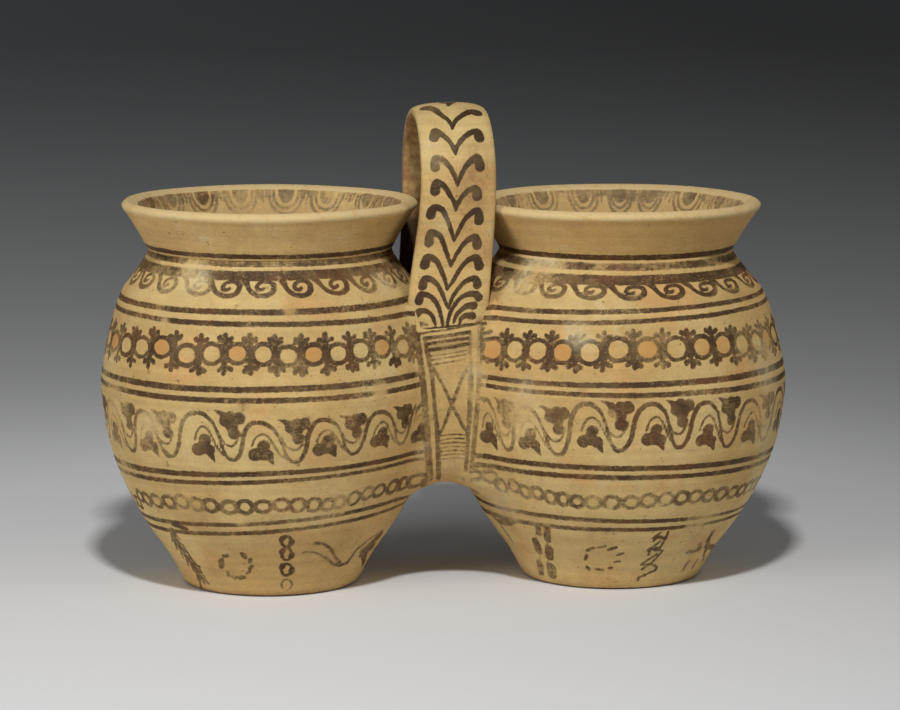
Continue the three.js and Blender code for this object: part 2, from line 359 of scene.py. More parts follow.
def spacing_at(angles, k):
    """The ways to the next motif and to the one before, as angles."""
    after, before = angles[(k + 1) % len(angles)], angles[k - 1]
    return (after - angles[k]) % TURN, (angles[k] - before) % TURN


def with_hidden(rng, seen, count, size):
    """Heights of the seen motifs, and ones about their mean for the hidden rest."""
    usual = float(np.mean(seen))
    return seen + [usual + rng.normal(0, size) for _ in range(count - len(seen))]


# The rows of motifs, with the pixels of the photograph where their middles are seen.
ROWS = {
    "left": dict(
        spiral_z=141.2, spiral_count=24, spiral_size=.87, spiral_height=1.0,
        spiral_px=((145, 283), (167, 286), (199, 290), (228, 291), (263, 292), (301, 292),
                   (338, 289), (369, 287)),
        spiral_tones=(.45, .4, .55, .1, .15, .05, .1, .4),
        ring_count=38, ring_size=4.35, low_leaves=.6, ring_filled=(0, 3, 6, 9, 12), ring_pale=(13,),
        ring_px=((115, 341), (126.2, 345), (141.8, 347), (161.6, 347.5), (186.4, 355.3),
                 (212.1, 353.7), (237.3, 354.2), (263.2, 354.2), (288.4, 356), (313.9, 354.6),
                 (338.4, 353.7), (360.8, 350.2), (381.7, 346.8), (403.2, 346.4)),
        ivy_count=17, ivy_tones=(.45, .65, .3, .1, .15, .3),
        peak_px=((110.5, 400), (143, 411), (199, 413), (258.5, 423), (324, 420), (381, 412)),
        trough_px=((133, 451), (169, 456.6), (233, 460), (296, 462), (353, 453.5), (401, 444)),
        chain_count=60, chain_z=45.6, chain_tilt=5.3,
        chain_px=((140, 495.8), (146.7, 499.2), (156.5, 501), (169, 501.7), (181.7, 501.7),
                  (196.7, 504.2), (210.8, 505.8), (229.2, 507.5), (245, 506.7), (263.3, 506.7),
                  (281.7, 505), (297.5, 505.3), (314, 505), (328.3, 504.7), (339.2, 502.5),
                  (354, 498), (367.5, 493.3), (379, 490.8), (392.5, 486.7)),
        spots=dict(
            worn=((182, 278, 14, .3), (204, 281, 9, .25), (384, 284, 11, .7), (290, 309.5, 5, .9),
                  (165, 319.5, 4, .8), (149, 425, 14, .55), (166, 418, 10, .5), (381, 392, 7, 1.3),
                  (320, 394, 10, .3), (226, 401, 1.6, .9), (139, 318, 8, .4), (240, 523, 6, .5),
                  (393, 348, 6, .5), (184, 500, 10, .3), (330, 437, 10, .3), (116, 352, 11, .2),
                  (114, 400, 20, .75), (120, 455, 18, .7), (250, 400, 10, .25), (200, 520, 16, .3),
                  (330, 515, 16, .3)),
            veil=((195, 279, 12, .7), (384, 284, 10, .5), (150, 424, 10, .4), (290, 310, 5, -.5),
                  (243, 405, 4, -.7), (345, 396, 6, -.4), (262, 525, 14, -.3), (345, 540, 16, -.3),
                  (220, 575, 12, -.25), (205, 520, 14, -.35), (106, 362, 13, .4),
                  (108, 430, 16, .45),
                  # The last three patches here are painted shade on the neck, under the collar
                  # beside the strap.
                  (126, 482, 14, .4), (391, 256, 9, -.9), (398, 268, 8, -.8),
                  (385, 262, 7, -.4))),
    ),
    "right": dict(
        spiral_z=137.6, spiral_count=22, spiral_size=.9, spiral_height=.9,
        spiral_px=((525, 288), (554, 290), (592, 292), (633, 292), (672, 290), (705, 286),
                   (729, 283), (746, 278)),
        spiral_tones=(.75, .6, .4, .05, .0, .1, .15, .3),
        ring_count=37, ring_size=4.9, low_leaves=.2, ring_filled=(0, 3, 6, 8, 9, 12),
        ring_pale=(10, 11, 12),
        ring_px=((493.9, 349.3), (514.6, 349.7), (537.6, 350.8), (562.6, 352.4), (589.9, 352.4),
                 (618.2, 349.3), (647.7, 349.3), (676.5, 348.8), (702.1, 347), (723.3, 344.8),
                 (742.3, 344.1), (756.5, 342), (766.5, 338)),
        ivy_count=17, ivy_tones=(.6, .45, .25, .05, .15, .3),
        peak_px=((485, 399), (525, 407.5), (588.3, 404.2), (653.3, 404.2), (706.7, 402.5),
                 (751, 400)),
        trough_px=((508.3, 450), (558.3, 455), (618.3, 450.8), (678.3, 447.5), (726.7, 446.7)),
        chain_count=60, chain_z=45, chain_tilt=-.6,
        chain_px=((481.3, 472.5), (493, 477), (502.5, 485.8), (514.2, 485.8), (525, 491.7),
                  (537.5, 493.3), (550.8, 497.5), (563.3, 499.2), (576.7, 501.7), (592.5, 502.5),
                  (611.7, 502.5), (630.8, 502.5), (648.3, 500.8), (666.3, 499.2), (681.7, 498),
                  (695.8, 496.7), (709.2, 495.8), (721.7, 493.7), (732.5, 492.5), (741.7, 490),
                  (748.5, 487.5), (754, 484.5)),
        spots=dict(
            worn=((524, 284, 13, .45), (548, 275, 12, .25), (535, 266, 11, .35), (530, 307, 6, .5),
                  (580, 330, 9, .5), (600, 340, 8, .4), (765, 345, 12, .5), (520, 390, 10, .4),
                  (524, 420, 12, .5), (523, 488, 14, .5), (600, 265, 8, .4), (745, 497, 12, .6),
                  (505, 505, 14, .5), (610, 506, 3, 1.0), (560, 264, 8, .5), (612, 417, 4, .8),
                  (505, 420, 16, .45), (700, 520, 14, .6), (660, 512, 10, .3), (764, 400, 18, .7),
                  (760, 450, 16, .5)),
            veil=((548, 258, 11, .7), (532, 262, 9, .7), (575, 333, 9, .7), (585, 345, 7, .5),
                  (516, 285, 12, .4), (524, 395, 12, .4), (500, 500, 18, .5), (520, 560, 18, .35),
                  (635, 397, 4, -.6), (583, 387, 4, -.7), (600, 530, 18, -.3), (700, 545, 14, -.25),
                  (760, 470, 16, .45), (768, 372, 18, .5), (768, 430, 18, .5), (752, 488, 12, .4),
                  # These three patches are painted shade on the neck, under the collar beside the
                  # strap.
                  (500, 250, 9, -.9), (496, 262, 9, -.8), (510, 246, 6, -.4))),
    ),
}
# Lines round each jar: height at the axis front, tilt, and the height that both share on paper.
LINES = {
    "left": ((33.9, 4.8), (38.4, 4.7), (58.2, 3.6), (61.9, 2.7), (94.4, .7), (99.1, 1.0),
             (126.4, -.5), (131.5, .4), (146.1, 0), (150.9, 0), (154.2, 0)),
    "right": ((31.3, -.1), (35.5, -1.7), (56.9, -.5), (61.3, -.8), (94.4, -.3), (98.7, 1.1),
              (125.7, 2.5), (129.9, 2.4), (141.8, 0), (147.4, 0), (151.7, 0)),
}
LINE_WIDTHS = (2.1, 2.2, 2.1, 2.3, 2.4, 2.7, 2.3, 2.6, 4.0, 2.6, 2.2)
LINE_WEAR = (.15, .15, .2, .1, .1, .1, .05, .1, .0, .35, .3)
PAPER = tuple(z for z, _ in LINES["left"])


def line_height(jar, theta, z):
    heights = [h for h, _ in LINES[jar["name"]]]
    tilt = np.interp(z, heights, [t for _, t in LINES[jar["name"]]])
    shift = np.interp(z, heights, np.array(heights) - PAPER)
    return z - tilt * np.cos(theta) - shift


# A running spiral, from the band down round its eye: mm about the eye, and half widths.
SPIRAL = ((-7.6, 5.2, 2.2), (-7.2, 3.4, 1.7), (-6.7, 1.4, 1.3), (-6.2, -.8, 1.15),
          (-5.0, -2.6, 1.2), (-2.8, -3.8, 1.2), (.2, -4.1, 1.25), (3.4, -3.3, 1.35),
          (5.3, -1.4, 1.4), (5.4, 1.0, 1.25), (3.8, 2.6, 1.05), (.9, 3.0, .95), (-2.0, 2.3, .95),
          (-3.2, .5, 1.0), (-2.6, -.8, 1.0), (-.6, -1.0, .95), (.5, -.2, .85))
SPIRAL_TAIL = 5
# The half width of a ring's stroke, how wide large and small rings may grow, the pitch at which
# a tuft is full, and the tuft's stem and leaves, in mm.
RING_HALF = 1.0
RING_WIDEST = 5.4
CHAIN_WIDEST = 3.6
TUFT_PITCH = 12.2
TUFT_STEM = ((0, 2.2), (2.6, 1.6), (5.6, 1.15))
TUFT_LEAVES = (((0, 5.6), (.1, 8.1), .9, 1.3), ((-.5, 5.4), (-2.9, 6.7), .8, 1.25),
               ((.5, 5.4), (3.0, 7.1), .75, 1.1))
LOW_LEAVES = (((-.5, 5.0), (-3.0, 5.4), .6, .8), ((.5, 5.0), (3.0, 5.5), .6, .75))
# The vine falls from a peak to a trough and rises again: shares of the way and of the height.
VINE_FALL = ((0, 1), (.1, .99), (.22, .95), (.34, .88), (.46, .78), (.6, .545), (.71, .29),
             (.84, .083), (1, 0))
VINE_RISE = ((0, 0), (.23, .06), (.41, .31), (.51, .67), (.66, .875), (.83, .976), (1, 1))
VINE_HALVES = (1.1, 1.1, 1.05, .95, .8, .7, .7, .8, .9, 1.0, 1.1, 1.15, 1.15, 1.1, 1.1)
VINE_PITCH = 28
# Thin lines and leaves: mm across from the peak or trough, shares of the height, half widths.
UNDER_LINE = ((-3.0, -.58), (-1.6, -.40), (1.4, -.28), (4.6, -.37), (7.2, -.60), (9.8, -.82),
              (12.6, -.93))
OVER_LINE = ((-6.2, .62), (-4.4, .44), (-2.0, .33), (.6, .31), (2.8, .42), (4.2, .61))
UNDER_LEAF = ((2.3, -.58, 2.9), (-1.8, -.80, 3.0), (1.2, -.75, 3.2), (4.2, -.81, 2.7))
UNDER_TIP = ((5.0, -.90, 1.6), (5.9, -.98, 1.0), (6.7, -1.04, .4))
OVER_LEAF = ((3.9, .93, 2.9), (.3, .96, 2.5), (-2.3, .85, 2.8), (1.5, .58, 2.8), (.9, .76, 2.9))
OVER_TIP = ((-3.2, .97, 1.6), (-5.2, 1.03, .9), (-7.6, 1.07, .4))
VINE_BENDS = ((UNDER_LINE, UNDER_LEAF, UNDER_TIP), (OVER_LINE, OVER_LEAF, OVER_TIP))


def drawn_or(values, k, draw):
    """The value noted for a motif that is seen, or a drawn one for a hidden motif."""
    return values[k] if k < len(values) else draw()


def paint_spirals(surface, jar, row, rng):
    """Running spirals under the neck band."""
    for k, theta in enumerate(spread(surface, row["spiral_px"], row["spiral_count"])[0]):
        tone = drawn_or(row["spiral_tones"], k, lambda: rng.uniform(.1, .6))
        wide = row["spiral_size"] * rng.uniform(.95, 1.05)
        high = row["spiral_height"] * rng.uniform(.96, 1.04)
        v = arc_at(jar, row["spiral_z"]) + rng.normal(0, .15)
        slant = rng.uniform(.2, .45)
        tail = [(x - slant * (y + 4) if i < SPIRAL_TAIL else x, y, h)
                for i, (x, y, h) in enumerate(SPIRAL)]
        line = spline([(x * wide, y * high, h) for x, y, h in tail], 58)
        surface.shape(theta, v, line[:, :2], line[:, 2], tone)


def paint_tufts(surface, rng, low_leaves, theta, v, slim, tone):
    """A tuft above and one below the joint of two rings."""
    for side in (1, -1):
        sway = rng.normal(0, .3)
        stem = [(sway * y / 9, side * y) for y, _ in TUFT_STEM]
        surface.shape(theta, v, stem, [w * slim for _, w in TUFT_STEM], tone)
        mirror = rng.choice((-1, 1))
        leaves = TUFT_LEAVES + (LOW_LEAVES if rng.random() < low_leaves else ())
        for (ax, ay), (bx, by), slight, full in leaves:
            root = (mirror * ax * slim + sway * .6, side * ay)
            tip = (mirror * bx * slim + sway + rng.normal(0, .25),
                   side * (by + rng.normal(0, .3)))
            surface.shape(theta, v, [root, tip], (slight, full * rng.uniform(.85, 1.1)), tone)


def paint_rings(surface, row, rng):
    """The chain of large rings, some of them filled, with tufts at their joints."""
    angles, seen = spread(surface, row["ring_px"], row["ring_count"])
    heights = with_hidden(rng, seen, len(angles), .4)
    tones = [rng.choice((.0, .05, .12, .25)) for _ in angles]
    for k, tone in zip(row["ring_pale"], (.6, .6, .5)):
        tones[k] = tone
    for k, theta in enumerate(angles):
        v, tone = heights[k], tones[k]
        gap, before = spacing_at(angles, k)
        worth = surface.worth_at(theta, v)
        rx = min(min(gap, before) * worth / 2 - .75, RING_WIDEST) * rng.uniform(.98, 1.02)
        ry = row["ring_size"] * rng.uniform(.96, 1.04)
        surface.shape(theta, v, shaky(rng, oval(rx, ry, 90, 450), .06),
                      RING_HALF * rng.uniform(.92, 1.12), tone)
        filled = k in row["ring_filled"] if k < len(seen) else k % 3 == 0
        if filled:
            surface.shape(theta, v, [(0, -.5), (0, .5)], min(rx, ry) - .3, 0, "accent")
        paint_tufts(surface, rng, row["low_leaves"], theta + gap / 2,
                    (v + heights[(k + 1) % len(angles)]) / 2, min(gap * worth / TUFT_PITCH, 1.0),
                    tone)


def paint_ivy(surface, row, rng):
    """The ivy scroll: a vine with a thin line and a leaf in each of its bends."""
    angles, seen = spread(surface, row["peak_px"], row["ivy_count"])
    peaks = with_hidden(rng, seen, len(angles), .5)
    troughs = [surface.at(*pixel) for pixel in row["trough_px"]]
    usual = float(np.mean([v for _, v in troughs]))
    for k, theta in enumerate(angles):
        gap, _ = spacing_at(angles, k)
        if k < len(troughs):
            turn, low = (troughs[k][0] - theta) % TURN, troughs[k][1]
        else:
            low = usual + rng.normal(0, .5)
            turn = gap * rng.uniform(.5, .57)
        worth = surface.worth_at(theta, low)
        across, fall = gap * worth, turn * worth
        stretch = across / VINE_PITCH
        tone = drawn_or(row["ivy_tones"], k, lambda: rng.choice((.1, .2, .35, .5)))
        v = peaks[k]
        drop, rise = v - low, peaks[(k + 1) % len(angles)] - low
        vine = [(x * fall, (y - 1) * drop) for x, y in VINE_FALL]
        vine += [(fall + x * (across - fall), y * rise - drop) for x, y in VINE_RISE[1:]]
        line = spline([(x, y, h) for (x, y), h in zip(vine, VINE_HALVES)], 46)
        surface.shape(theta, v, line[:, :2], line[:, 2] * rng.uniform(.92, 1.05), tone)
        for (thin, lobes, tip), (start, base) in zip(VINE_BENDS, ((0, 0), (fall, -drop))):
            line = spline([(start + x * stretch, base + y * drop) for x, y in thin], 22)
            halves = np.interp(np.linspace(0, 1, len(line)), (0, .25, .7, 1), (.65, .55, .6, .5))
            surface.shape(theta, v, line, halves, tone + .1)
            dark = min(rng.choice((0, .05, .1, .2)) + tone * .35, .6)
            for x, y, size in lobes:
                middle = (start + x * stretch + rng.normal(0, .2),
                          base + y * drop + rng.normal(0, .15))
                surface.shape(theta, v, [middle], size * rng.uniform(.94, 1.05), dark)
            surface.shape(theta, v, [(start + x * stretch, base + y * drop) for x, y, _ in tip],
                          [half for _, _, half in tip], dark)


def paint_chain(surface, jar, row, rng):
    """The chain of small rings."""
    angles, seen = spread(surface, row["chain_px"], row["chain_count"])
    for k, theta in enumerate(angles):
        z = row["chain_z"] + row["chain_tilt"] * math.cos(theta) + rng.normal(0, .3)
        v = seen[k] if k < len(seen) else arc_at(jar, z)
        wide = sum(spacing_at(angles, k)) / 2 * surface.worth_at(theta, v) * .44
        ring = oval(min(wide, CHAIN_WIDEST), rng.uniform(2.9, 3.3), steps=28)
        surface.shape(theta, v, shaky(rng, ring, .1),
                      rng.uniform(.95, 1.2), rng.choice((.2, .3, .4, .55)))


def paint_jar(surface, jar):
    row = ROWS[jar["name"]]
    rng = np.random.default_rng(jar["seed"])
    paint_spirals(surface, jar, row, rng)
    paint_rings(surface, row, rng)
    paint_ivy(surface, row, rng)
    paint_chain(surface, jar, row, rng)
    (foot_left if jar is LEFT else foot_right)(surface, rng)
    foot_behind(surface, jar, rng)
    for layer, spots in row["spots"].items():
        surface.patches([(*spot, layer) for spot in spots])
    # Like patches on the hidden side.
    for _ in range(HIDDEN_PATCHES):
        theta = rng.uniform(.15, math.pi - .15)
        v = arc_at(jar, rng.uniform(12, 150))
        layer, amount = (("worn", rng.uniform(.15, .5)),
                         ("veil", rng.uniform(-.3, .5)))[rng.integers(2)]
        surface.spot(theta, v, rng.uniform(5, 17), amount, layer)


# Loose motifs between the lowest line and the foot, along pixels of the photograph. Where a
# stroke has more than its line, its half widths and its tone follow.
BRANCH = ((172, 529), (175, 537), (179, 545), (184.5, 553.5), (189.5, 561), (195, 567),
          (199.5, 575), (204, 583))
BRANCH_HALVES = (1.1, 1.3, 1.4, 1.4, 1.3, 1.2, 1.0, .8)
WREATH_MIDDLE = (236, 566)
WREATH = ((225.8, 555.8), (220.8, 560.8), (221.7, 565.8), (228, 573.7), (233.3, 577.5),
          (238.3, 577.8), (242.5, 577), (248.3, 572.5), (250.8, 567.5), (250, 560.8),
          (242.5, 555), (245, 556.5))
BEAD_COLUMN = 286.7
BEADS = ((541.5, 5.4), (554.3, 5.6), (569.5, 5.8), (584.5, 5.2))
TENDRIL = (
    (((303, 552.3), (310, 551.8), (318, 553.5), (326.5, 558), (333, 563.5), (340, 565.5),
      (347, 563), (353, 554), (360, 546), (369, 539.5), (378, 534), (384, 529)),
     (.9, .7, .7, .8, .9, 1.0, 1.0, .9, .8, .8, .9, .7), .2),
    (((313, 543.7), (323, 544), (331, 549), (335, 557), (339, 563.5)), (1.1, .8, .9, .9, .8), .2),
    (((344, 564.5), (350, 558.5), (357, 550), (366, 543)), .65, .25),
    (((362, 550), (364.5, 556), (363, 564)), (2.0, 2.4, 1.4), .35),
    (((368, 546), (374, 541), (380, 535)), (2.6, 3.4, 2.6), .35),
    (((361, 555), (366, 549), (372, 547)), (1.6, 2.6, 2.6), .4),
    (((172, 524), (180, 526.5), (187, 529)), (1.2, 1.8, 1.0), .3))
FOOT_LEAF = (
    (((493, 517), (498, 521), (503, 522.5), (510, 523.5), (516, 522)),
     (1.0, 1.6, 2.0, 1.5, .6), .4),
    (((501, 525), (508, 535), (513, 542.5)), (1.1, 1.0, .6), .3))
STRUNG_BEADS = (((538, 527), (539, 534), 1.55), ((535.5, 541), (539, 551), 2.15),
                ((539.5, 563), (541, 572), 2.05), ((547.5, 528), (547.5, 540), 1.85),
                ((549, 548), (549.3, 557), 2.35), ((551, 567), (552, 574), 2.75))
BEAD_STRINGS = (((537, 534), (537, 545), (540, 555), (541, 576)),
                ((547.5, 540), (549, 550), (548, 562), (551, 572)))
DASHED_RING = (((587, 550.5), (594, 547.8)), ((599, 547.3), (606, 545.8)),
               ((608.5, 549.8), (616, 547.3)), ((585.5, 559.5), (586.7, 554.5)),
               ((587, 567), (589, 569.3)), ((596, 569.2), (603, 570)),
               ((609, 568.3), (611.5, 567.5)), ((615, 562), (619, 561.3)),
               ((617, 555.3), (623, 553.5)))
SCRIBBLE = (((668, 531.5), (666, 538.5), (659, 536)), ((653, 538), (661, 532.5)),
            ((653.5, 541), (656, 538), (666, 538.5)), ((666, 538), (660, 548), (655, 547)),
            ((647.5, 550), (660, 542)), ((660, 548), (650, 549.5), (648.5, 555)),
            ((655, 550.5), (663, 550.5), (657, 557), (653.5, 561)), ((641, 564.5), (657, 554)),
            ((641, 564.5), (650, 564), (657, 566), (655.5, 570), (644, 575)),
            ((642, 569.5), (653, 562)), ((646, 575), (638.5, 577), (638, 580)))
FAR_SCRIBBLE = (
    (((712.5, 532), (708, 540), (705.5, 551)), 1.5, .3), (((706, 546), (713, 548)), 1.6, .4),
    (((700, 543), (699.5, 549), (694, 551), (688, 552)), 1.3, .45),
    (((704, 553), (703, 560)), 1.1, .5), (((689, 561), (683, 569.5)), .95, .45),
    (((697, 560), (692.5, 568)), .95, .5))


def leaflets(surface, rng, spine, length, tone):
    """Short leaves along both sides of a stem, given in pixels."""
    for (ax, ay), (bx, by) in zip(spine, spine[1:]):
        dx, dy = bx - ax, by - ay
        out = length * .55 / math.hypot(dx, dy)
        for side in (-1, 1):
            tip = (bx - dy * side * out + dx * .35, by + dx * side * out + dy * .35)
            surface.brush([(ax, ay), tip], (.95, rng.uniform(.55, .75)), tone)


def foot_left(surface, rng):
    surface.brush(BRANCH, BRANCH_HALVES, .3)
    surface.brush([(x + 3.2, y - .8) for x, y in BRANCH[2:]], .6, .3)
    leaflets(surface, rng, BRANCH, 6.5, .25)
    mx, my = WREATH_MIDDLE
    for px, py in WREATH:
        away = math.hypot(px - mx, py - my)
        nx, ny = (px - mx) / away, (py - my) / away
        surface.brush([(px - 1.2 * ny - nx, py + 1.2 * nx - ny),
                       (px + 1.6 * ny + nx, py - 1.6 * nx + ny)],
                      rng.uniform(.85, 1.15), rng.choice((.15, .3, .4)))
    for k, (py, high) in enumerate(BEADS):
        ring = [(BEAD_COLUMN + x + rng.normal(0, .15), py + y)
                for x, y in oval(5.2, high, 90, 450, 16)]
        last = k == len(BEADS) - 1
        surface.brush(ring, .6 if last else .8, .5 if last else .1)
        if not last:
            surface.brush(ring[4:8], (.8, 1.4, 1.5, .8), .05)
            surface.brush(ring[11:15], (.8, 1.5, 1.5, .8), .05)
    for line, halves, tone in TENDRIL:
        surface.brush(line, halves, tone)


def foot_right(surface, rng):
    for line, halves, tone in FOOT_LEAF:
        surface.brush(line, halves, tone)
    for a, b, half in STRUNG_BEADS:
        surface.brush([a, b], half, rng.choice((.3, .4, .5)))
    for line in BEAD_STRINGS:
        surface.brush(line, .35, .5)
    for line in DASHED_RING:
        surface.brush(line, rng.uniform(.75, 1.0), rng.choice((.1, .2, .35)))
    for line in SCRIBBLE:
        surface.brush(line, .66, rng.choice((.1, .2, .3)))
    for line, half, tone in FAR_SCRIBBLE:
        surface.brush(line, half, tone)


HIDDEN_PATCHES = 34
FOOT_MIDDLE = 19
FOOT_FIRST = .38
FOOT_PITCH = .56


def foot_behind(surface, jar, rng):
    """Like motifs on the hidden side of the foot: beads, dashed rings, zigzags and branches."""
    for k in range(5):
        theta = FOOT_FIRST + FOOT_PITCH * k + rng.normal(0, .04)
        v = arc_at(jar, FOOT_MIDDLE) + rng.normal(0, .6)
        tone = rng.choice((.2, .3, .4))
        kind = (k + (0 if jar is LEFT else 2)) % 4
        if kind == 0:
            for y in (-8, -3, 2.2, 7.2):
                surface.shape(theta, v + y, shaky(rng, oval(2.2, 2.4), .12), .9, tone)
        elif kind == 1:
            ring = shaky(rng, oval(6.2, 5.6), .25)
            for i in range(0, 20, 2):
                surface.shape(theta, v, ring[i:i + 2], rng.uniform(.75, 1.0), tone)
        elif kind == 2:
            turns = [(2.6 * (1 if i % 4 in (1, 2) else -1) - i * .25, 8.5 - i * 1.3)
                     for i in range(14)]
            surface.shape(theta, v, shaky(rng, turns, .2), .8, tone)
        else:
            stem = [(.5 * i - 2, 8.5 - 2.4 * i) for i in range(8)]
            surface.shape(theta, v, stem, (1.2, 1.2, 1.1, 1.1, 1.0, .9, .8, .6), tone)
            for x, y in stem[:-1]:
                for side in (-1, 1):
                    surface.shape(theta, v, [(x, y), (x + 2.6 * side, y - 2.6)], .6, tone)


# The panel's painted frame in the photograph, from the top down: lines, half widths and tones.
PANEL_LEFT_EDGE = ((416.5, 336), (419.5, 352), (422.3, 375), (425, 405), (427, 440), (429.5, 478))
PANEL_RIGHT_EDGE = ((478.5, 325), (479.5, 345), (479, 375), (477.5, 405), (474.5, 440), (471, 472))
PANEL_FRAME = (
    (PANEL_LEFT_EDGE, (1.3, 1.5, 1.6, 1.6, 1.8, 1.8), .6),
    (((425.5, 341), (427.5, 355), (432, 375), (434.5, 405), (437.5, 432), (438.5, 478)),
     (1.0, 1.1, 1.0, .9, 1.2, 1.2), .5),
    (((470, 334), (470.3, 355), (471, 375), (470, 405), (467.8, 435), (466, 470)),
     (.9, .9, 1.3, 1.2, 1.0, 1.0), .7),
    (PANEL_RIGHT_EDGE, (.8, .8, 1.2, 1.1, 1.1, 1.1), .75),
    (((412, 334.8), (420, 333.7), (430, 332), (443, 330), (460, 327), (474, 324), (485, 323.5)),
     (.8, .6, .55, .5, .6, .7, .9), .05),
    (((413.5, 330), (417, 337), (418.5, 346)), (.8, 1.5, .8), .0),
    (((424, 338.5), (445, 336), (470, 332)), .85, .1),
    (((427, 344), (448, 341), (469, 338)), .8, .1),
    (((427, 350.3), (445, 348), (469, 344)), .9, .1),
    (((430, 356), (447, 354), (467, 350.3)), .42, .5),
    (((432, 360.3), (448, 357.5), (466, 354.5)), .42, .5),
    (((432, 364.7), (448, 362.3), (465, 359.3)), .42, .5))
PANEL_CROSS = (
    (((431, 365), (435, 371), (442, 383), (452, 405), (458, 416), (464, 428), (469, 434)), .4),
    (((467.5, 367), (462, 379), (455, 397), (450, 410), (443, 428), (440, 433)), .5))
PANEL_LOW_ROWS = (435.3, 439.3, 443.3, 447.3, 451.2, 455, 458.8)
PANEL_LOW_BAR = ((441, .6), (449, -.6), (456, -1.0), (464.5, -.5))
PANEL_SPOTS = ((475, 365, 7, .5, "worn"), (474, 395, 8, .6, "worn"), (472, 425, 8, .5, "worn"),
               (475, 375, 7, .4, "veil"), (423, 420, 7, .4, "worn"), (424, 450, 7, .35, "veil"),
               (450, 466, 8, -.35, "veil"), (417, 437, 6, -.4, "veil"))
PANEL_SEED = 61


def paint_panel(surface):
    rng = np.random.default_rng(PANEL_SEED)
    for line, halves, tone in PANEL_FRAME:
        surface.brush(line, halves, tone)
    surface.patches(PANEL_SPOTS)
    for line, tone in PANEL_CROSS:
        for shift, half, paler in ((-.9, .5, 0), (.9, .45, .1)):
            surface.brush([(x + shift, y) for x, y in line], half, tone + paler)
    for row in PANEL_LOW_ROWS:
        # Only the bar's first point is uneven.
        uneven = (rng.normal(0, .2), 0, 0, 0)
        surface.brush([(x, row + y + low) for (x, y), low in zip(PANEL_LOW_BAR, uneven)],
                      rng.uniform(.3, .4), .55)


# Strokes on the strap, in pixels: each pair curls from two bulbs down to one vertex.
STRAP_PAIRS = (
    (((426, 108), (434, 109.5), (441, 115), (449, 121), (452, 129)),
     ((476, 112.5), (470, 112), (462.5, 115), (455.5, 121), (452, 129))),
    (((434, 137), (435, 131), (441, 134), (449, 141), (454, 150), (455.5, 154)),
     ((479, 137.5), (477.5, 132), (470, 133), (462.5, 139), (457.5, 146), (455.5, 154))),
    (((435, 166), (436, 159), (444, 161), (450, 167.5), (455.5, 179), (457.5, 186)),
     ((480, 166), (477.5, 158), (471, 160.5), (465, 167.5), (461, 176), (457.5, 186))),
    (((435, 191), (436, 183), (444, 186), (450, 195), (454, 202.5), (455.5, 211)),
     ((477.5, 196), (476, 189), (469, 190), (462.5, 196), (458, 204), (455.5, 211))),
    (((431, 215), (434, 207.5), (442.5, 210), (447.5, 220), (451, 230), (454, 241)),
     ((479, 220), (477.5, 211), (470, 214), (464, 221), (459, 230), (454, 241))),
    (((429, 242.5), (431, 233), (440, 236), (444, 246), (447.5, 256), (451, 266)),
     ((477.5, 245), (475, 237.5), (467.5, 240), (461, 247.5), (455.5, 256), (451, 266))),
    (((425, 265), (427.5, 257.5), (436, 260), (441, 270), (444.5, 280), (447.5, 289.5)),
     ((479, 266), (476, 258), (469, 260), (461, 267.5), (454, 279), (447.5, 289.5))),
    (((422.5, 286), (425, 279), (432.5, 280), (439, 287.5), (444, 297.5), (448, 309)),
     ((477.5, 285), (475, 279), (467.5, 280), (460, 286), (452.5, 297.5), (448, 309))),
    (((419, 301), (421, 295), (430, 296), (437.5, 305), (441, 316), (443, 326)),
     ((479, 297.5), (475, 294), (465, 295), (456, 302.5), (450, 314), (447, 326))),
)
STRAP_TONES = ((.15, .05), (.1, .05), (.35, .15), (.2, .2), (.0, .05), (.15, .1), (.0, .0),
               (.25, .05), (.0, .0))
STRAP_FAN = (
    (((416, 315), (421, 310.5), (429, 312.5), (432.5, 317.5), (435.5, 326)), .15),
    (((474, 306), (467.5, 306), (461, 310), (456, 316), (454, 322.5)), .1),
    (((472.5, 316), (466, 315.5), (461, 319), (460, 324)), .15),
    (((417, 326), (422.5, 324), (427.5, 325)), .55),
)
STROKE_HALVES = (2.2, 1.75, 1.3, 1.1, 1.0, .6)
# How the bulbs change down the strap, by the pixel row of the bulb.
STROKE_ROWS = (105, 115, 140, 270, 295, 325)
STROKE_BULBS = (1.4, 1.35, 1.05, 1.0, .88, .8)
STRAP_CREST_MARK = ((443, 101.5), (447.5, 103), (452, 101.5), (448, 105.5))
# The pale veil patch at (430, 150) is a painted highlight on the upper left of the strap's face.
STRAP_SPOTS = ((440, 165, 6, .6, "worn"), (470, 193, 6, .4, "worn"), (435, 240, 5, .4, "worn"),
               (428, 285, 6, .5, "worn"), (424, 325, 5, .6, "worn"), (471, 180, 12, -.5, "veil"),
               (473, 205, 12, -.6, "veil"), (447, 102, 6, -.8, "veil"), (470, 110, 8, -.3, "veil"),
               (430, 150, 9, .3, "veil"), (445, 225, 8, .3, "veil"), (480, 322, 4, -.9, "veil"),
               (425, 235, 7, -.25, "veil"), (482, 175, 10, -.5, "veil"),
               (478, 150, 10, -.45, "veil"), (462, 230, 10, -.4, "veil"),
               (480, 255, 9, -.5, "veil"))


def strap_strokes(surface):
    """Each stroke on the strap's face as (coordinates, half widths, tone)."""
    out = []
    strokes = [stroke for pair, tones in zip(STRAP_PAIRS, STRAP_TONES)
               for stroke in zip(pair, tones)]
    for line, tone in strokes + list(STRAP_FAN):
        points = [surface.at(*p) for p in line]
        share = np.linspace(0, 1, len(line))
        # Bulbs look flat near the crest, where the face turns away, and the lowest are slim.
        bulb = np.interp(line[0][1], STROKE_ROWS, STROKE_BULBS)
        halves = np.interp(share, np.linspace(0, 1, len(STROKE_HALVES)), STROKE_HALVES)
        halves = halves * (1 + (bulb - 1) * (1 - share))
        curve = spline([(u, v, h) for (u, v), h in zip(points, halves)], 24)
        out.append((curve[:, :2], curve[:, 2], tone))
    return out


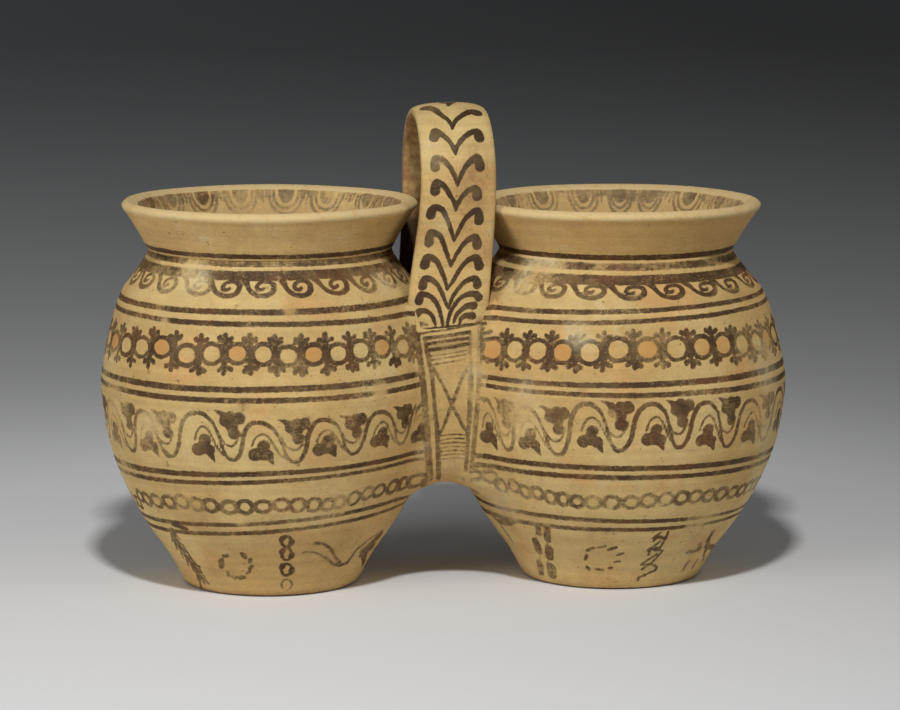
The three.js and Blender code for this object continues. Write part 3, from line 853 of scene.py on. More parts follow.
# Materials.
def rgb(red, green, blue):
    """A colour as seen on screen, from 0 to 255, in the renderer's linear values."""
    shares = [value / 255 for value in (red, green, blue)]
    return (*(c / 12.92 if c <= .04045 else ((c + .055) / 1.055) ** 2.4 for c in shares), 1)


class Graph:
    """Short names for the nodes of one material."""

    def __init__(self, material):
        material.use_nodes = True
        self.tree = material.node_tree
        self.tree.nodes.clear()

    def node(self, kind, **settings):
        made = self.tree.nodes.new("ShaderNode" + kind)
        for key, value in settings.items():
            setattr(made, key, value)
        return made

    def feed(self, socket, value):
        if isinstance(value, bpy.types.NodeSocket):
            self.tree.links.new(value, socket)
        else:
            socket.default_value = value

    def fed(self, node, values):
        for socket, value in zip(node.inputs, values):
            self.feed(socket, value)
        return node.outputs[0]

    def math(self, kind, *values):
        return self.fed(self.node("Math", operation=kind), values)

    def times(self, a, b):
        return self.math("MULTIPLY", a, b)

    def minus(self, a, b):
        return self.math("SUBTRACT", a, b)

    def total(self, *terms):
        """The sum of the terms, where a pair is a value and its factor."""
        values = [self.times(*term) if isinstance(term, tuple) else term for term in terms]
        out = values[0]
        for value in values[1:]:
            out = self.math("ADD", out, value)
        return out

    def ramp(self, value, low, high, out_low=0.0, out_high=1.0):
        made = self.node("MapRange", interpolation_type="SMOOTHSTEP")
        return self.fed(made, (value, low, high, out_low, out_high))

    def noise(self, where, scale, detail, rough=.5, distortion=0.0, stretch=(1, 1, 1),
              shift=(0, 0, 0)):
        moved = self.node("Mapping")
        self.feed(moved.inputs["Vector"], where)
        moved.inputs["Scale"].default_value = stretch
        moved.inputs["Location"].default_value = shift
        made = self.node("TexNoise")
        for key, value in (("Vector", moved.outputs[0]), ("Scale", scale), ("Detail", detail),
                           ("Roughness", rough), ("Distortion", distortion)):
            self.feed(made.inputs[key], value)
        return made.outputs[0]

    def mix(self, share, a, b, kind="MIX"):
        made = self.node("Mix", data_type="RGBA", blend_type=kind)
        for socket, value in zip((0, 6, 7), (share, a, b)):
            self.feed(made.inputs[socket], value)
        return made.outputs[2]

    def shade(self, colour, factor):
        """The colour made lighter or darker by a grey factor about one."""
        return self.mix(1, colour, self.fed(self.node("CombineColor"), [factor] * 3), "MULTIPLY")

    def layer(self, name):
        made = self.node("Attribute", attribute_type="GEOMETRY", attribute_name=name)
        return made.outputs["Fac"]

    def surface(self, shader):
        self.feed(self.node("OutputMaterial").inputs[0], shader.outputs[0])


CLAY_PALE = rgb(200, 173, 116)
CLAY_WARM = rgb(187, 154, 97)
CLAY_BLUSH = rgb(196, 146, 90)
CLAY_DUST = rgb(206, 192, 154)
# Brown for real stains, and for painted shade.
CLAY_STAIN_AND_SHADE = rgb(132, 92, 56)
RIM_PALE = rgb(199, 166, 108)
RIM_WARM = rgb(187, 151, 92)
RIM_DUST_AND_LIGHT = rgb(208, 184, 134)
SOIL = rgb(112, 82, 50)
# Painted deep shadow, for the darkest painted shade.
PAINTED_SHADOW = rgb(52, 38, 26)
INK_DARK = rgb(61, 41, 23)
INK_BROWN = rgb(98, 60, 33)
INK_GREY = rgb(113, 90, 57)
FILL_ORANGE = rgb(184, 134, 74)

# The noises that a clay is made of, with scales in metres.
NOISES = dict(
    streaks=dict(scale=1, detail=4, rough=.55, stretch=(9, 9, 420)),
    broad=dict(scale=17, detail=3, rough=.55, distortion=.4),
    patches=dict(scale=42, detail=4, rough=.6),
    grain=dict(scale=900, detail=3, rough=.6),
    mottle=dict(scale=150, detail=4, rough=.65, shift=(5, 2, 8)),
    dust=dict(scale=70, detail=5, rough=.65, distortion=.6),
    stain=dict(scale=26, detail=5, rough=.62, distortion=.8, stretch=(1, 1, .7), shift=(2, 6, 1)),
    specks=dict(scale=420, detail=2),
    flecks=dict(scale=150, detail=3, rough=.55, shift=(9, 9, 3)),
    cloud=dict(scale=210, detail=5, rough=.7),
    sway=dict(scale=1, detail=3, stretch=(30, 30, 90)),
    ragged=dict(scale=520, detail=4, rough=.65),
    fine_wear=dict(scale=430, detail=5, rough=.72),
    broad_wear=dict(scale=38, detail=4, rough=.62, distortion=.5, shift=(3, 1, 2)),
    line_wear=dict(scale=1, detail=3, rough=.6, stretch=(60, 60, 1300)),
    grey=dict(scale=75, detail=4, rough=.65),
    brown=dict(scale=48, detail=3, rough=.55, shift=(7, 4, 9)),
    flakes=dict(scale=1000, detail=4, rough=.7, stretch=(1, 1, 1.6)))
# Shades of the bare clay: where the noise starts and is full, and the darkest and palest factor.
CLAY_SHADES = dict(streaks=(.3, .7, .93, 1.05), grain=(.3, .7, .93, 1.05),
                   mottle=(.32, .68, .94, 1.04))
# Marks on the bare clay: where the noise starts and is full, the share at most, and the colour.
CLAY_MARKS = dict(dust=(.58, .76, .35, CLAY_DUST), stain=(.58, .8, .3, CLAY_STAIN_AND_SHADE),
                  specks=(.69, .75, .6, SOIL), flecks=(.70, .75, .5, CLAY_STAIN_AND_SHADE))
# What wears the paint and what greys it, by how much.
WEAR_SHARES = dict(broad_wear=.8, fine_wear=.95, line_wear=.3, tone=.2, worn=.42)
GREY_SHARES = dict(grey=1.0, tone=.45, worn=.3)
# What lifts the surface for the bump, by how much, and the bump's strength and depth in metres.
LIFT_SHARES = dict(streaks=.5, grain=.3, patches=.5, mottle=.4, opacity=.12, specks=-.3,
                   flecks=-.4)
BUMP_STRENGTH = .55
BUMP_DEPTH = .0005
CLAY_SPECULAR = .22


def clay(name, blush, wear, pale=CLAY_PALE, warm=CLAY_WARM, browned=.7, ink_shade=1.0,
         flaking=.6, pale_tint=CLAY_DUST):
    material = bpy.data.materials.new(name)
    g = Graph(material)
    where = g.node("TexCoord").outputs["Object"]
    n = {key: g.layer(key) for key in LAYERS}
    n.update({key: g.noise(where, **settings) for key, settings in NOISES.items()})

    def weighed(shares):
        return [(n[key], share) for key, share in shares.items()]

    # Bare clay: broad paler and warmer areas, blotches, shades and marks.
    colour = g.mix(g.ramp(n["broad"], .36, .66), warm, pale)
    colour = g.mix(g.times(g.ramp(n["patches"], .5, .72), blush), colour, CLAY_BLUSH)
    for key, (low, high, dark, light) in CLAY_SHADES.items():
        colour = g.shade(colour, g.ramp(n[key], low, high, dark, light))
    for key, (low, high, share, tint) in CLAY_MARKS.items():
        n[key] = g.ramp(n[key], low, high)
        colour = g.mix(g.times(n[key], share), colour, tint)
    # Where the veil layer is below zero: brown stains and painted shade under the paint, and
    # painted deep shadow where it is far below.
    cloud = g.ramp(n["cloud"], .38, .62, .45, 1.15)
    dark = g.times(g.math("MAXIMUM", g.times(n["veil"], -1.0), 0.0), cloud)
    colour = g.mix(g.math("MINIMUM", g.times(dark, .8), .85), colour, CLAY_STAIN_AND_SHADE)
    colour = g.mix(g.ramp(n["veil"], -1.1, -2.4, 0, .85), colour, PAINTED_SHADOW)

    # The paint lies within the strokes and lines, whose edges are ragged.
    height = g.total(n["lineheight"], (g.minus(n["sway"], .5), .9))
    distance = n["ink"]
    for z, width in zip(PAPER, LINE_WIDTHS):
        line = g.minus(g.math("ABSOLUTE", g.minus(height, z)), width / 2)
        distance = g.math("MINIMUM", distance, line)
    distance = g.total(distance, (g.minus(n["ragged"], .5), 1.1))
    cover = g.ramp(distance, .22, -.22)
    # It is worn in patches and streaks, thinner towards its edges, and flaked.
    thin = g.ramp(distance, -.9, .1)
    bare = g.ramp(g.total(*weighed(WEAR_SHARES), (thin, .1), wear), 1.08, 1.56, .02, .85)
    flakes = g.total(n["flakes"], (g.minus(n["broad_wear"], .5), .45))
    gone = g.math("MAXIMUM", bare, g.ramp(flakes, .54, .72, 0, flaking))
    n["opacity"] = g.times(cover, g.minus(1.0, gone))
    paint = g.mix(g.ramp(g.total(*weighed(GREY_SHARES)), .45, .85), INK_DARK, INK_GREY)
    paint = g.mix(g.times(g.ramp(n["brown"], .46, .68), browned), paint, INK_BROWN)
    paint = g.shade(paint, g.ramp(n["fine_wear"], .3, .7, .85 * ink_shade, 1.25 * ink_shade))
    fill = g.times(g.ramp(n["accent"], .5, -.5), g.ramp(n["patches"], .35, .65, .4, .9))
    colour = g.mix(n["opacity"], g.mix(fill, colour, FILL_ORANGE), paint)
    # Pale deposits and painted light over the paint, where the veil layer is above zero.
    pale_cover = g.times(g.times(g.math("MAXIMUM", n["veil"], 0.0), cloud), .75)
    colour = g.mix(g.math("MINIMUM", pale_cover, .8), colour, pale_tint)

    shader = g.node("BsdfPrincipled")
    g.feed(shader.inputs["Base Color"], colour)
    g.feed(shader.inputs["Roughness"],
           g.total(g.ramp(n["streaks"], .3, .7, .74, .88), (n["opacity"], -.14)))
    shader.inputs["Specular IOR Level"].default_value = CLAY_SPECULAR
    bump = g.node("Bump")
    bump.inputs["Strength"].default_value = BUMP_STRENGTH
    bump.inputs["Distance"].default_value = BUMP_DEPTH
    g.feed(bump.inputs["Height"], g.total(*weighed(LIFT_SHARES)))
    g.feed(shader.inputs["Normal"], bump.outputs[0])
    g.surface(shader)
    return material


# The layers that the painted clay reads, and what they hold where nothing is painted.
LAYERS = dict(ink=FAR, tone=0, accent=FAR, lineheight=NO_LINE, worn=0, veil=0)

BODY_CLAY = clay("body_clay", .55, .0)
RIM_CLAY = clay("rim_clay", .35, .0, RIM_PALE, RIM_WARM, pale_tint=RIM_DUST_AND_LIGHT)
WEB_CLAY = clay("web_clay", .6, .05)
HANDLE_CLAY = clay("handle_clay", .45, -.12, browned=.3, ink_shade=.8, flaking=.25)


def filled_out(values, count):
    """The layers' values, and what they hold at the points beyond the painted ones."""
    return {key: np.concatenate([v, np.full(count - v.size, fill)])
            for (key, fill), v in zip(LAYERS.items(), values)}


def line_wear(height):
    """Each line's own wear, near that line."""
    nearest = np.argmin(np.abs(height[:, None] - np.array(PAPER)[None, :]), 1)
    return np.array(LINE_WEAR)[nearest]


# The bowls. Columns stand closer where the photograph looks, and rows where the motifs are.
FRONT_STEP, BACK_STEP, FLOOR_COLUMNS = .0114, .0056, 120
PLAIN_STEP = 2.2
ROW_STEPS = ((4, 36, .85), (38, 53, .75), (62, 96, .74), (100, 125, .72), (131, 147, .72))
FOOT_ROWS = (0, .15, .5, 1.2)
# Painted contact shadow darkens the lowest edge of the foot.
FOOT_CONTACT_SHADOW = 2.3
# The hollow inside: where its wall ends above the corner, the corner's height and how far it lies
# in from the wall and down, the foot of the corner, and the floor, as radii with their rise.
HOLLOW_END = 22
HOLLOW_ROWS = 30
CORNER_Z, CORNER_IN, CORNER_DOWN = 14, 1.5, .5
CORNER_FOOT = ((INNER_FLOOR, .6), (INNER_FLOOR - 7, 0))
FLOOR_RINGS = ((18, -.1), (8, 0), (2, .2))
RING_DEPTH = .18
# The underside is a shade hollow inside its resting ring: steps in from the ring's edge, then
# radii, with their heights.
HOLLOW_RING = ((4, 0.0), (9, .12))
HOLLOW_MIDDLE = ((20, .25), (8, .3))
HOLLOW_TOP = .3


def front_spacing(theta):
    towards = np.cos(theta + math.pi / 2)
    return FRONT_STEP + BACK_STEP * smooth((.25 - towards) / .6)


def row_spacing(z):
    steps = np.full(np.shape(z), PLAIN_STEP)
    for low, high, step in ROW_STEPS:
        steps = np.where((z > low) & (z < high), step, steps)
    return steps


def turned(angles, profile):
    """Angles, radii and heights over a grid, for a turned profile of radii and heights."""
    t, row = np.meshgrid(angles, np.arange(len(profile)))
    return t, profile[row, 0], profile[row, 1]


def bowl(jar):
    shell = Shell()
    theta = spaced(-math.pi, math.pi, front_spacing)[:-1]
    z = np.concatenate([FOOT_ROWS, spaced(jar["foot_edge"], jar["neck_z"], row_spacing)])
    t, zz = np.meshgrid(theta, z)
    rr = radius_at(jar, zz) + unevenness(jar, t, zz) * smooth(zz / 6)
    outside = on_jar_wall(jar, t, zz, np.minimum(rr, jar["belly"]))
    wall = shell.grid(outside)
    shell.fill(wall, around=True)
    # The hollow: down the wall, round the corner, and over the floor to its middle.
    coarse = np.linspace(-math.pi, math.pi, FLOOR_COLUMNS + 1)[:-1]
    down = [(radius_at(jar, h) - WALL, h)
            for h in np.linspace(jar["neck_z"] - SEAM_BEVEL, HOLLOW_END, HOLLOW_ROWS)]
    bend = (radius_at(jar, CORNER_Z) - WALL - CORNER_IN, CORNER_Z - CORNER_DOWN)
    foot, floor = [[(r, FLOOR_THICKNESS + up) for r, up in rings]
                   for rings in (CORNER_FOOT, FLOOR_RINGS)]
    corner = spline([down[-1], bend] + foot, 9)
    t2, r2, z2 = turned(coarse, np.concatenate([down, corner[1:], floor]))
    rings = np.sin(z2 * .9 + .6 * np.sin(t2 + jar["seed"]))
    r2 = r2 + RING_DEPTH * rings * smooth((z2 - 12) / 10)
    hollow = shell.grid(on_jar_wall(jar, t2, z2, r2))
    shell.fill(hollow, around=True)
    shell.zip(wall[-1], theta, hollow[0], coarse)
    shell.hub(hollow[-1], jar, floor[-1][1])
    # The underside.
    under = [(jar["contact"] - inward, up) for inward, up in HOLLOW_RING] + list(HOLLOW_MIDDLE)
    t3, r3, z3 = turned(coarse, np.array(under))
    base = shell.grid(on_jar_wall(jar, t3, z3, r3))
    shell.fill(base[::-1], around=True)
    shell.zip(base[0], coarse, wall[0], theta)
    shell.hub(base[-1], jar, HOLLOW_TOP, flip=True)

    # Painting on the outside only.
    towards = ((outside[..., 0] - CAMERA_PLACE[0]) * np.cos(t)
               + (outside[..., 1] - CAMERA_PLACE[1]) * np.sin(t))
    surface = Surface(outside, t, arc_at(jar, zz), radius_at(jar, zz), towards < 0)
    paint_jar(surface, jar)
    height = line_height(jar, t, zz).ravel()
    # Painted contact shadow along the foot's lowest edge.
    surface.veil -= (FOOT_CONTACT_SHADOW * smooth((1.5 - zz) / 1.1)).ravel()
    surface.worn += line_wear(height)
    shell.make(f"painted_{jar['name']}_bowl", BODY_CLAY, "body_clay", f"{jar['name']}_bowl",
               filled_out(surface.layers(height), shell.count))
    return surface


# The collars: painted light on the lip, which is paler down to the sharp edge of the painting
# inside, and a pale cover inside.
LIP_PAINTED_LIGHT = 1.5
INSIDE_PALE = .32
DISC_EDGE_SHARP = 5.4
# Steps along the wall in mm, and round it as an angle.
COLLAR_STEP = .85
COLLAR_TURN = .0148
# A coordinate and a height beyond all painting, for the collar's outside.
UNPAINTED = 60.0
COLLAR_TOP_PAPER = 160


def collar_profile(jar):
    bore, seam, lip = jar["neck"] - WALL, jar["neck_z"], jar["lip"]
    top = jar["lip_z"] + LIP_THICKNESS / 2
    under_lip = jar["lip_z"] - LIP_THICKNESS
    bevel = lip - LIP_BEVEL_WIDTH
    outer = spline([(jar["neck"], seam - .5), (jar["neck"] + 1.1, seam + 1.6),
                    ((jar["neck"] + lip) / 2 - 1.1, (seam + under_lip) / 2),
                    (lip - LIP_THICKNESS / 2 - .1, under_lip)], 24)
    nose = spline([(lip - LIP_THICKNESS / 2, under_lip), (lip, jar["lip_z"] - LIP_THICKNESS / 4),
                   (lip - LIP_THICKNESS / 4, top - LIP_THICKNESS / 4), (lip - LIP_THICKNESS, top),
                   (bevel, top - LIP_BEVEL_DROP), ((bevel + bore) / 2, (under_lip + seam) / 2),
                   (bore, seam)], 60)
    foot = [(bore, seam - SEAM_BEVEL - .4), (bore + 1.5, seam - SEAM_BEVEL)]
    profile = np.concatenate([outer, nose[1:], foot])
    step = travelled(*profile.T)
    even = np.linspace(0, step[-1], int(step[-1] / COLLAR_STEP))
    return even, np.stack([np.interp(even, step, column) for column in profile.T], 1)


def collar(jar):
    shell = Shell()
    even, profile = collar_profile(jar)
    theta = spaced(-math.pi, math.pi, lambda a: np.full(np.shape(a), COLLAR_TURN))[:-1]
    t, r, z = turned(theta, profile)
    wave = .25 * np.sin(2 * t + jar["seed"]) + .15 * np.sin(5 * t - 2 * jar["seed"])
    share = smooth((z - jar["neck_z"] - 4) / 10)
    points = on_jar_wall(jar, t, z + (wave - .4) * share * .6, r - (.2 - wave * .5) * share)
    ids = shell.grid(points)
    shell.fill(ids, around=True)
    shell.fill(np.stack([ids[-1], ids[0]]), around=True)
    crest = even[np.argmax(profile[:, 1])]
    depth = np.broadcast_to(even[:, None] - crest, t.shape)
    inner = depth > 0
    surface = Surface(points, t, np.where(inner, -depth, UNPAINTED), r, inner & (np.sin(t) > -.2))
    paint_collar(surface, jar)
    height = np.where(inner, NO_LINE, np.minimum(line_height(jar, t, z), COLLAR_TOP_PAPER))
    # Painted light makes the lip's top and nose paler; the inner wall gets an even pale cover.
    rise = np.where(inner, smooth((DISC_EDGE_SHARP - depth) / .8),
                    smooth((z - (jar["lip_z"] - 2.6)) / 1.6))
    surface.veil += np.maximum(LIP_PAINTED_LIGHT * rise, np.where(inner, INSIDE_PALE, 0)).ravel()
    shell.make(f"painted_{jar['name']}_collar", RIM_CLAY, "rim_clay", f"{jar['name']}_collar",
               filled_out(surface.layers(height.ravel()), shell.count))


# Middles of the discs on the collar's far inner wall, in pixels; the discs hang from an edge and
# have arcs round them, with shares of the way to the next disc, depths and half widths.
DISC_PX = dict(left=((171, 199), (202.5, 198), (240.8, 198), (285.8, 198), (326.7, 198),
                     (366.7, 200)),
               right=((511, 199), (542, 197), (583, 196), (620, 195), (650, 196), (689, 197),
                      (720, 200)))
DISC_COUNT = dict(left=20, right=19)
DISC_EDGE = -5.6
DISC_HALF = 3.9
DISC_DEPTH = 6.2
DISC_ARCS = ((.6, 8.7, .68), (.83, 11.6, .72))
DISC_SEED = 40
COMB_TEETH = (-3.2, -1.6, 0, 1.6, 3.2)
COLLAR_PATCHES = 16


def paint_collar(surface, jar):
    rng = np.random.default_rng(jar["seed"] + DISC_SEED)
    angles, _ = spread(surface, DISC_PX[jar["name"]], DISC_COUNT[jar["name"]])
    for k, theta in enumerate(angles):
        tone = rng.uniform(.3, .7)
        gap, before = spacing_at(angles, k)
        half = min(gap, before) * surface.worth_at(theta, DISC_EDGE) / 2
        for x in np.linspace(.8 - DISC_HALF, DISC_HALF - .8, 7):
            deep = DISC_DEPTH * math.sqrt(1 - (x / DISC_HALF) ** 2)
            surface.shape(theta, DISC_EDGE, [(x, .2), (x * .9, .8 - deep)], .85, tone)
        for reach, deep, width in DISC_ARCS:
            arc = [(half * reach * math.cos(a), -deep * math.sin(a) ** .8)
                   for a in np.radians(np.linspace(0, 180, 21))]
            surface.shape(theta, DISC_EDGE, shaky(rng, arc, .12), width, tone + .15)
        for x in COMB_TEETH:
            deep = rng.uniform(2.6, 4.6) + (2.5 if x == 0 else 0)
            surface.shape(theta + gap / 2, DISC_EDGE, [(x, .2), (x * .8, -deep)], (.6, .4),
                          tone + .1)
    for _ in range(COLLAR_PATCHES):
        surface.spot(rng.uniform(-math.pi, math.pi), -rng.uniform(6, 18), rng.uniform(4, 9),
                     rng.uniform(.2, .7), "worn")
        surface.spot(rng.uniform(-math.pi, math.pi), rng.uniform(-16, 2), rng.uniform(5, 12),
                     rng.uniform(-.5, .5), "veil")


# The strap. Its rows and columns, the part of the root that its own mesh leaves to the panel, the
# thickness that it falls short of the solid, and the sizes that even out its section.
STRAP_ROW = .72
STRAP_COLUMNS = 120
STRAP_SUNK = 3.5
STRAP_HALF = STRAP["thickness"] / 2 - .12
SECTION_SIZE = (17.5, 3.5)
STRAP_SEED = 23
# A coordinate along the strap beyond all painting, for its sides and inner face.
OFF_FACE = 1e4


def strap_middle(y, z):
    climb = smooth((z - STRAP["root_z"]) / (STRAP["spring_z"] - STRAP["root_z"]))
    root = np.where(y < 0, STRAP["front_x"], STRAP["back_x"])
    spring = STRAP["crest_x"] - STRAP["skew"] * np.clip(y / STRAP["spring_reach"], -1, 1)
    x = root + (spring - root) * climb
    return x, STRAP["root_width"] + (STRAP["crest_width"] - STRAP["root_width"]) * climb


def strap_reach(z):
    up = np.clip((z - STRAP["root_z"]) / (STRAP["spring_z"] - STRAP["root_z"]), 0, 1)
    return STRAP["spring_reach"] + (STRAP["root_reach"] - STRAP["spring_reach"]) * (1 - up) ** 2


def root_line(x):
    """The height of the slanting line across the strap's root."""
    return STRAP["end_z"] + STRAP["slant"] * x


def strap_path():
    """Even steps along the strap's middle, from the front root to the back one: the way gone, y,
    z, and the direction in y and z."""
    arch = STRAP["crest_z"] - STRAP["thickness"] / 2 - STRAP["crown"] - STRAP["spring_z"]
    leg = np.linspace(STRAP["root_z"] + STRAP_SUNK, STRAP["spring_z"], 400)
    angle = np.linspace(0, math.pi, 900)[1:-1]
    y = np.concatenate([-strap_reach(leg), -STRAP["spring_reach"] * np.cos(angle),
                        strap_reach(leg)[::-1]])
    z = np.concatenate([leg, STRAP["spring_z"] + arch * np.sin(angle), leg[::-1]])
    step = travelled(y, z)
    way = np.linspace(0, step[-1], int(step[-1] / STRAP_ROW))
    y, z = np.interp(way, step, y), np.interp(way, step, z)
    ty, tz = np.gradient(y, way), np.gradient(z, way)
    size = np.hypot(ty, tz)
    return way, y, z, ty / size, tz / size


def strap_section():
    """Even steps round the strap's section, as shares across and through it."""
    turn = np.linspace(0, TURN, 1200)
    across, through = [np.sign(s) * np.abs(s) ** STRAP["roundness"]
                       for s in (np.cos(turn), np.sin(turn))]
    step = travelled(across * SECTION_SIZE[0], through * SECTION_SIZE[1])
    even = np.linspace(0, step[-1], STRAP_COLUMNS + 1)[:-1]
    return np.interp(even, step, across), np.interp(even, step, through)


def strap():
    shell = Shell()
    way, y, z, ty, tz = [column[:, None] for column in strap_path()]
    length = way[-1, 0]
    x, width = strap_middle(y, z)
    sa, sb = strap_section()
    across = sa * width / 2
    above = z - root_line(x + across)
    dent = .25 * np.sin(way / 17 + across / 9) + .15 * np.sin(way / 7.3 - across / 5)
    edge_dent = .35 * np.sin(way / 23 + np.sign(sa) * 2) * np.abs(sa) ** 3
    out = sb * STRAP_HALF + np.where(sb > 0, STRAP["crown"] * (1 - sa ** 2), 0)
    out = out + (dent - .4) * .35 * np.where(sb > 0, 1, -1)
    out = out - .6 * smooth(-above / 1.5) * np.sign(sb)
    points = np.stack([x + across * .992 - edge_dent * np.sign(sa), y - tz * out, z + ty * out], -1)
    ids = shell.grid(points)
    # Columns run round the section.
    shell.fill(ids[:, ::-1], around=True)
    shell.cap(ids[0])
    shell.cap(ids[-1], flip=True)

    face = sb > .25
    surface = Surface(points, across, np.where(face, way, OFF_FACE), np.ones_like(across),
                      face & (way < length / 2), turning=False)
    rng = np.random.default_rng(STRAP_SEED)
    for line, halves, tone in strap_strokes(surface):
        surface.dab(line, halves, tone)
        behind = [(-u * .97 + rng.normal(0, .15), length - v + rng.normal(0, .3)) for u, v in line]
        surface.dab(behind, halves, rng.choice((.1, .3, .5)))
    surface.brush(STRAP_CREST_MARK, (1.8, 2.4, 1.8, 1.0))
    surface.patches(STRAP_SPOTS)
    # The dark line across each root.
    line = (np.abs(above - .1) - .55).ravel()
    closer = (line < surface.ink) & np.broadcast_to(face, above.shape).ravel()
    surface.tone[closer] = .05
    surface.ink[closer] = line[closer]
    # Painted shade on the sides and on the inner face, darkest low on the rear leg, where shade
    # falls.
    rear = smooth((way - length * .45) / (length * .08))
    low = smooth((STRAP["spring_z"] - 14 - z) / 16)
    strap_shade = (.45 * smooth((np.abs(sa) - .965) / .03)
            + (.35 + .6 * rear + 1.6 * rear * low) * smooth((-.1 - sb) / .3))
    surface.veil -= strap_shade.ravel()
    shell.make("painted_handle_strap", HANDLE_CLAY, "handle_clay", "handle_strap",
               filled_out(surface.layers(np.full(shell.count, NO_LINE)), shell.count))


# The web between the bellies and the panels on it, with soft fillets where they meet the rest.
FILLET = 6.0
STRAP_FILLET = 4.0
# How far the panel stays behind the strap, and how far the strap's ends fade below the root.
STRAP_STEP = .4
STRAP_FADE = 14.0
# How deep the skin lies below the joined surface, and how thick it is.
SKIN_SINK = .1
SKIN_DEPTH = 3.4
SKIN_SEARCH = (8.0, 96.0)
SKIN_ROUNDS = 34
# The skin's left and right edge, how far they shift at the top and underneath, and how far the
# skin sinks at them.
SKIN_EDGES = (-27, 23)
SKIN_TOP_SHIFTS = (7, -5)
SKIN_LOW_SHIFTS = (-2, 2)
SKIN_EDGE_SINK = .5
# How deep the web lies below the panels that cover it, and from which angle down and up.
PANEL_COVER = .6
COVER_LOW, COVER_HIGH, COVER_FADE = -60, 46, 4
# How far from a bowl's wall its paint and its lines run on over the skin.
PAINT_REACH = 7.0
LINE_REACH = 1.2
WEB_STEPS = 420
WEB_COLUMNS = 84
PANEL_COLUMNS = 110
# The panel's angles, and where it starts to sink at either end, with the way that it takes.
PANEL_DEGREES = np.arange(-62, 49.5, .62)
PANEL_LOW, PANEL_LOW_FADE = -58, 4
PANEL_HIGH, PANEL_HIGH_FADE = 47, 2.5
# How far the bare field between the panel's edges runs up behind the strap.
PANEL_RISE = 14


def jar_distance(jar, x, y, z):
    dx = x - axis_at(jar, z)
    low, high = radius_at(jar, z - .5), radius_at(jar, z + .5)
    wall = radius_at(jar, z) + unevenness(jar, np.arctan2(y, dx), z)
    return (np.hypot(dx, y) - wall) / np.sqrt(1 + (high - low) ** 2)


def half_outline():
    """The web's outline from the middle of its underside to the middle of its top, as angles and
    radii about its centre."""
    curve = spline([(WEB["reach"] * out, WEB["bottom"] + (WEB["top"] - WEB["bottom"]) * up)
                    for out, up in WEB_SHARES], 1201)
    top = np.stack([np.linspace(curve[-1, 0], 0, 80), np.full(80, WEB["top"])], 1)[1:]
    line = np.concatenate([curve, top])
    line[:, 0] = np.maximum(line[:, 0], 0)
    up = line[:, 1] - WEB["centre_z"]
    return np.arctan2(up, line[:, 0]), np.hypot(line[:, 0], up)


OUTLINE_ANGLES, OUTLINE_RADII = half_outline()


def dip(off, depth, radius):
    """How far a hollow's side lies from its deepest line, at a way off that line."""
    return depth * (1 - np.exp(-off**2 / (2 * radius * depth)))


def web_distance(x, y, z):
    """About how far a point stands outside the web's oval disc."""
    off = x - WEB["x"]
    middle, half = (WEB["top"] + WEB["bottom"]) / 2, (WEB["top"] - WEB["bottom"]) / 2
    near = np.clip(np.abs(z - middle) / half, 0, 1) ** 4
    drop = dip(off, WEB["arch_depth"], WEB["arch_radius"])
    rise = dip(off, WEB["valley_depth"], WEB["valley_radius"])
    up = np.where(z < middle, z + drop * near, z - rise * near) - WEB["centre_z"]
    angle = np.arctan2(up, np.abs(y))
    edge, above, below = [np.interp(angle + turn, OUTLINE_ANGLES, OUTLINE_RADII)
                          for turn in (0, .02, -.02)]
    return (np.hypot(up, y) - edge) / np.sqrt(1 + ((above - below) / .04 / edge) ** 2)


def strap_distance(x, y, z):
    """About how far a point stands outside the strap's lower ends."""
    middle, width = strap_middle(y, np.clip(z, STRAP["root_z"], STRAP["spring_z"]))
    half = width / 2
    u = (x - middle) / half
    b = np.abs(y) - strap_reach(z)
    b = b - np.where(b > 0, STRAP["crown"] * np.clip(1 - u**2, 0, 1), 0)
    a1, a2 = np.abs(u) + 1e-6, np.abs(b / STRAP_HALF) + 1e-6
    p = 2 / STRAP["roundness"]
    total = a1**p + a2**p
    g = total ** (1 / p)
    gx = total ** (1 / p - 1) * a1 ** (p - 1) / half
    gy = total ** (1 / p - 1) * a2 ** (p - 1) / STRAP_HALF
    d = np.maximum((g - 1) / np.sqrt(gx**2 + gy**2 + 1e-9), -STRAP_HALF)
    # The ends fade out below the root, and above it the strap's own mesh stands in front.
    line = root_line(x)
    return d + STRAP_FADE * smooth((line - 4 - z) / 18) + STRAP_STEP * smooth((z - line) / 1.5)


def skin_point(x, angle, reach):
    """A point at a reach from the web's middle line, at an angle up from straight ahead."""
    return np.stack([x, -reach * np.cos(angle), WEB["centre_z"] + reach * np.sin(angle)], -1)


def skin_reach(x, angle, with_strap):
    """The reach of the smooth joined surface, by halving."""
    low, high = [np.full(x.shape, reach) for reach in SKIN_SEARCH]
    for _ in range(SKIN_ROUNDS):
        mid = (low + high) / 2
        place = np.moveaxis(skin_point(x, angle, mid), -1, 0)
        d = soft_min(jar_distance(LEFT, *place), jar_distance(RIGHT, *place), FILLET)
        d = soft_min(d, web_distance(*place), FILLET)
        if with_strap:
            d = soft_min(d, strap_distance(*place), STRAP_FILLET)
        inside = d < 0
        low, high = np.where(inside, mid, low), np.where(inside, high, mid)
    return (low + high) / 2


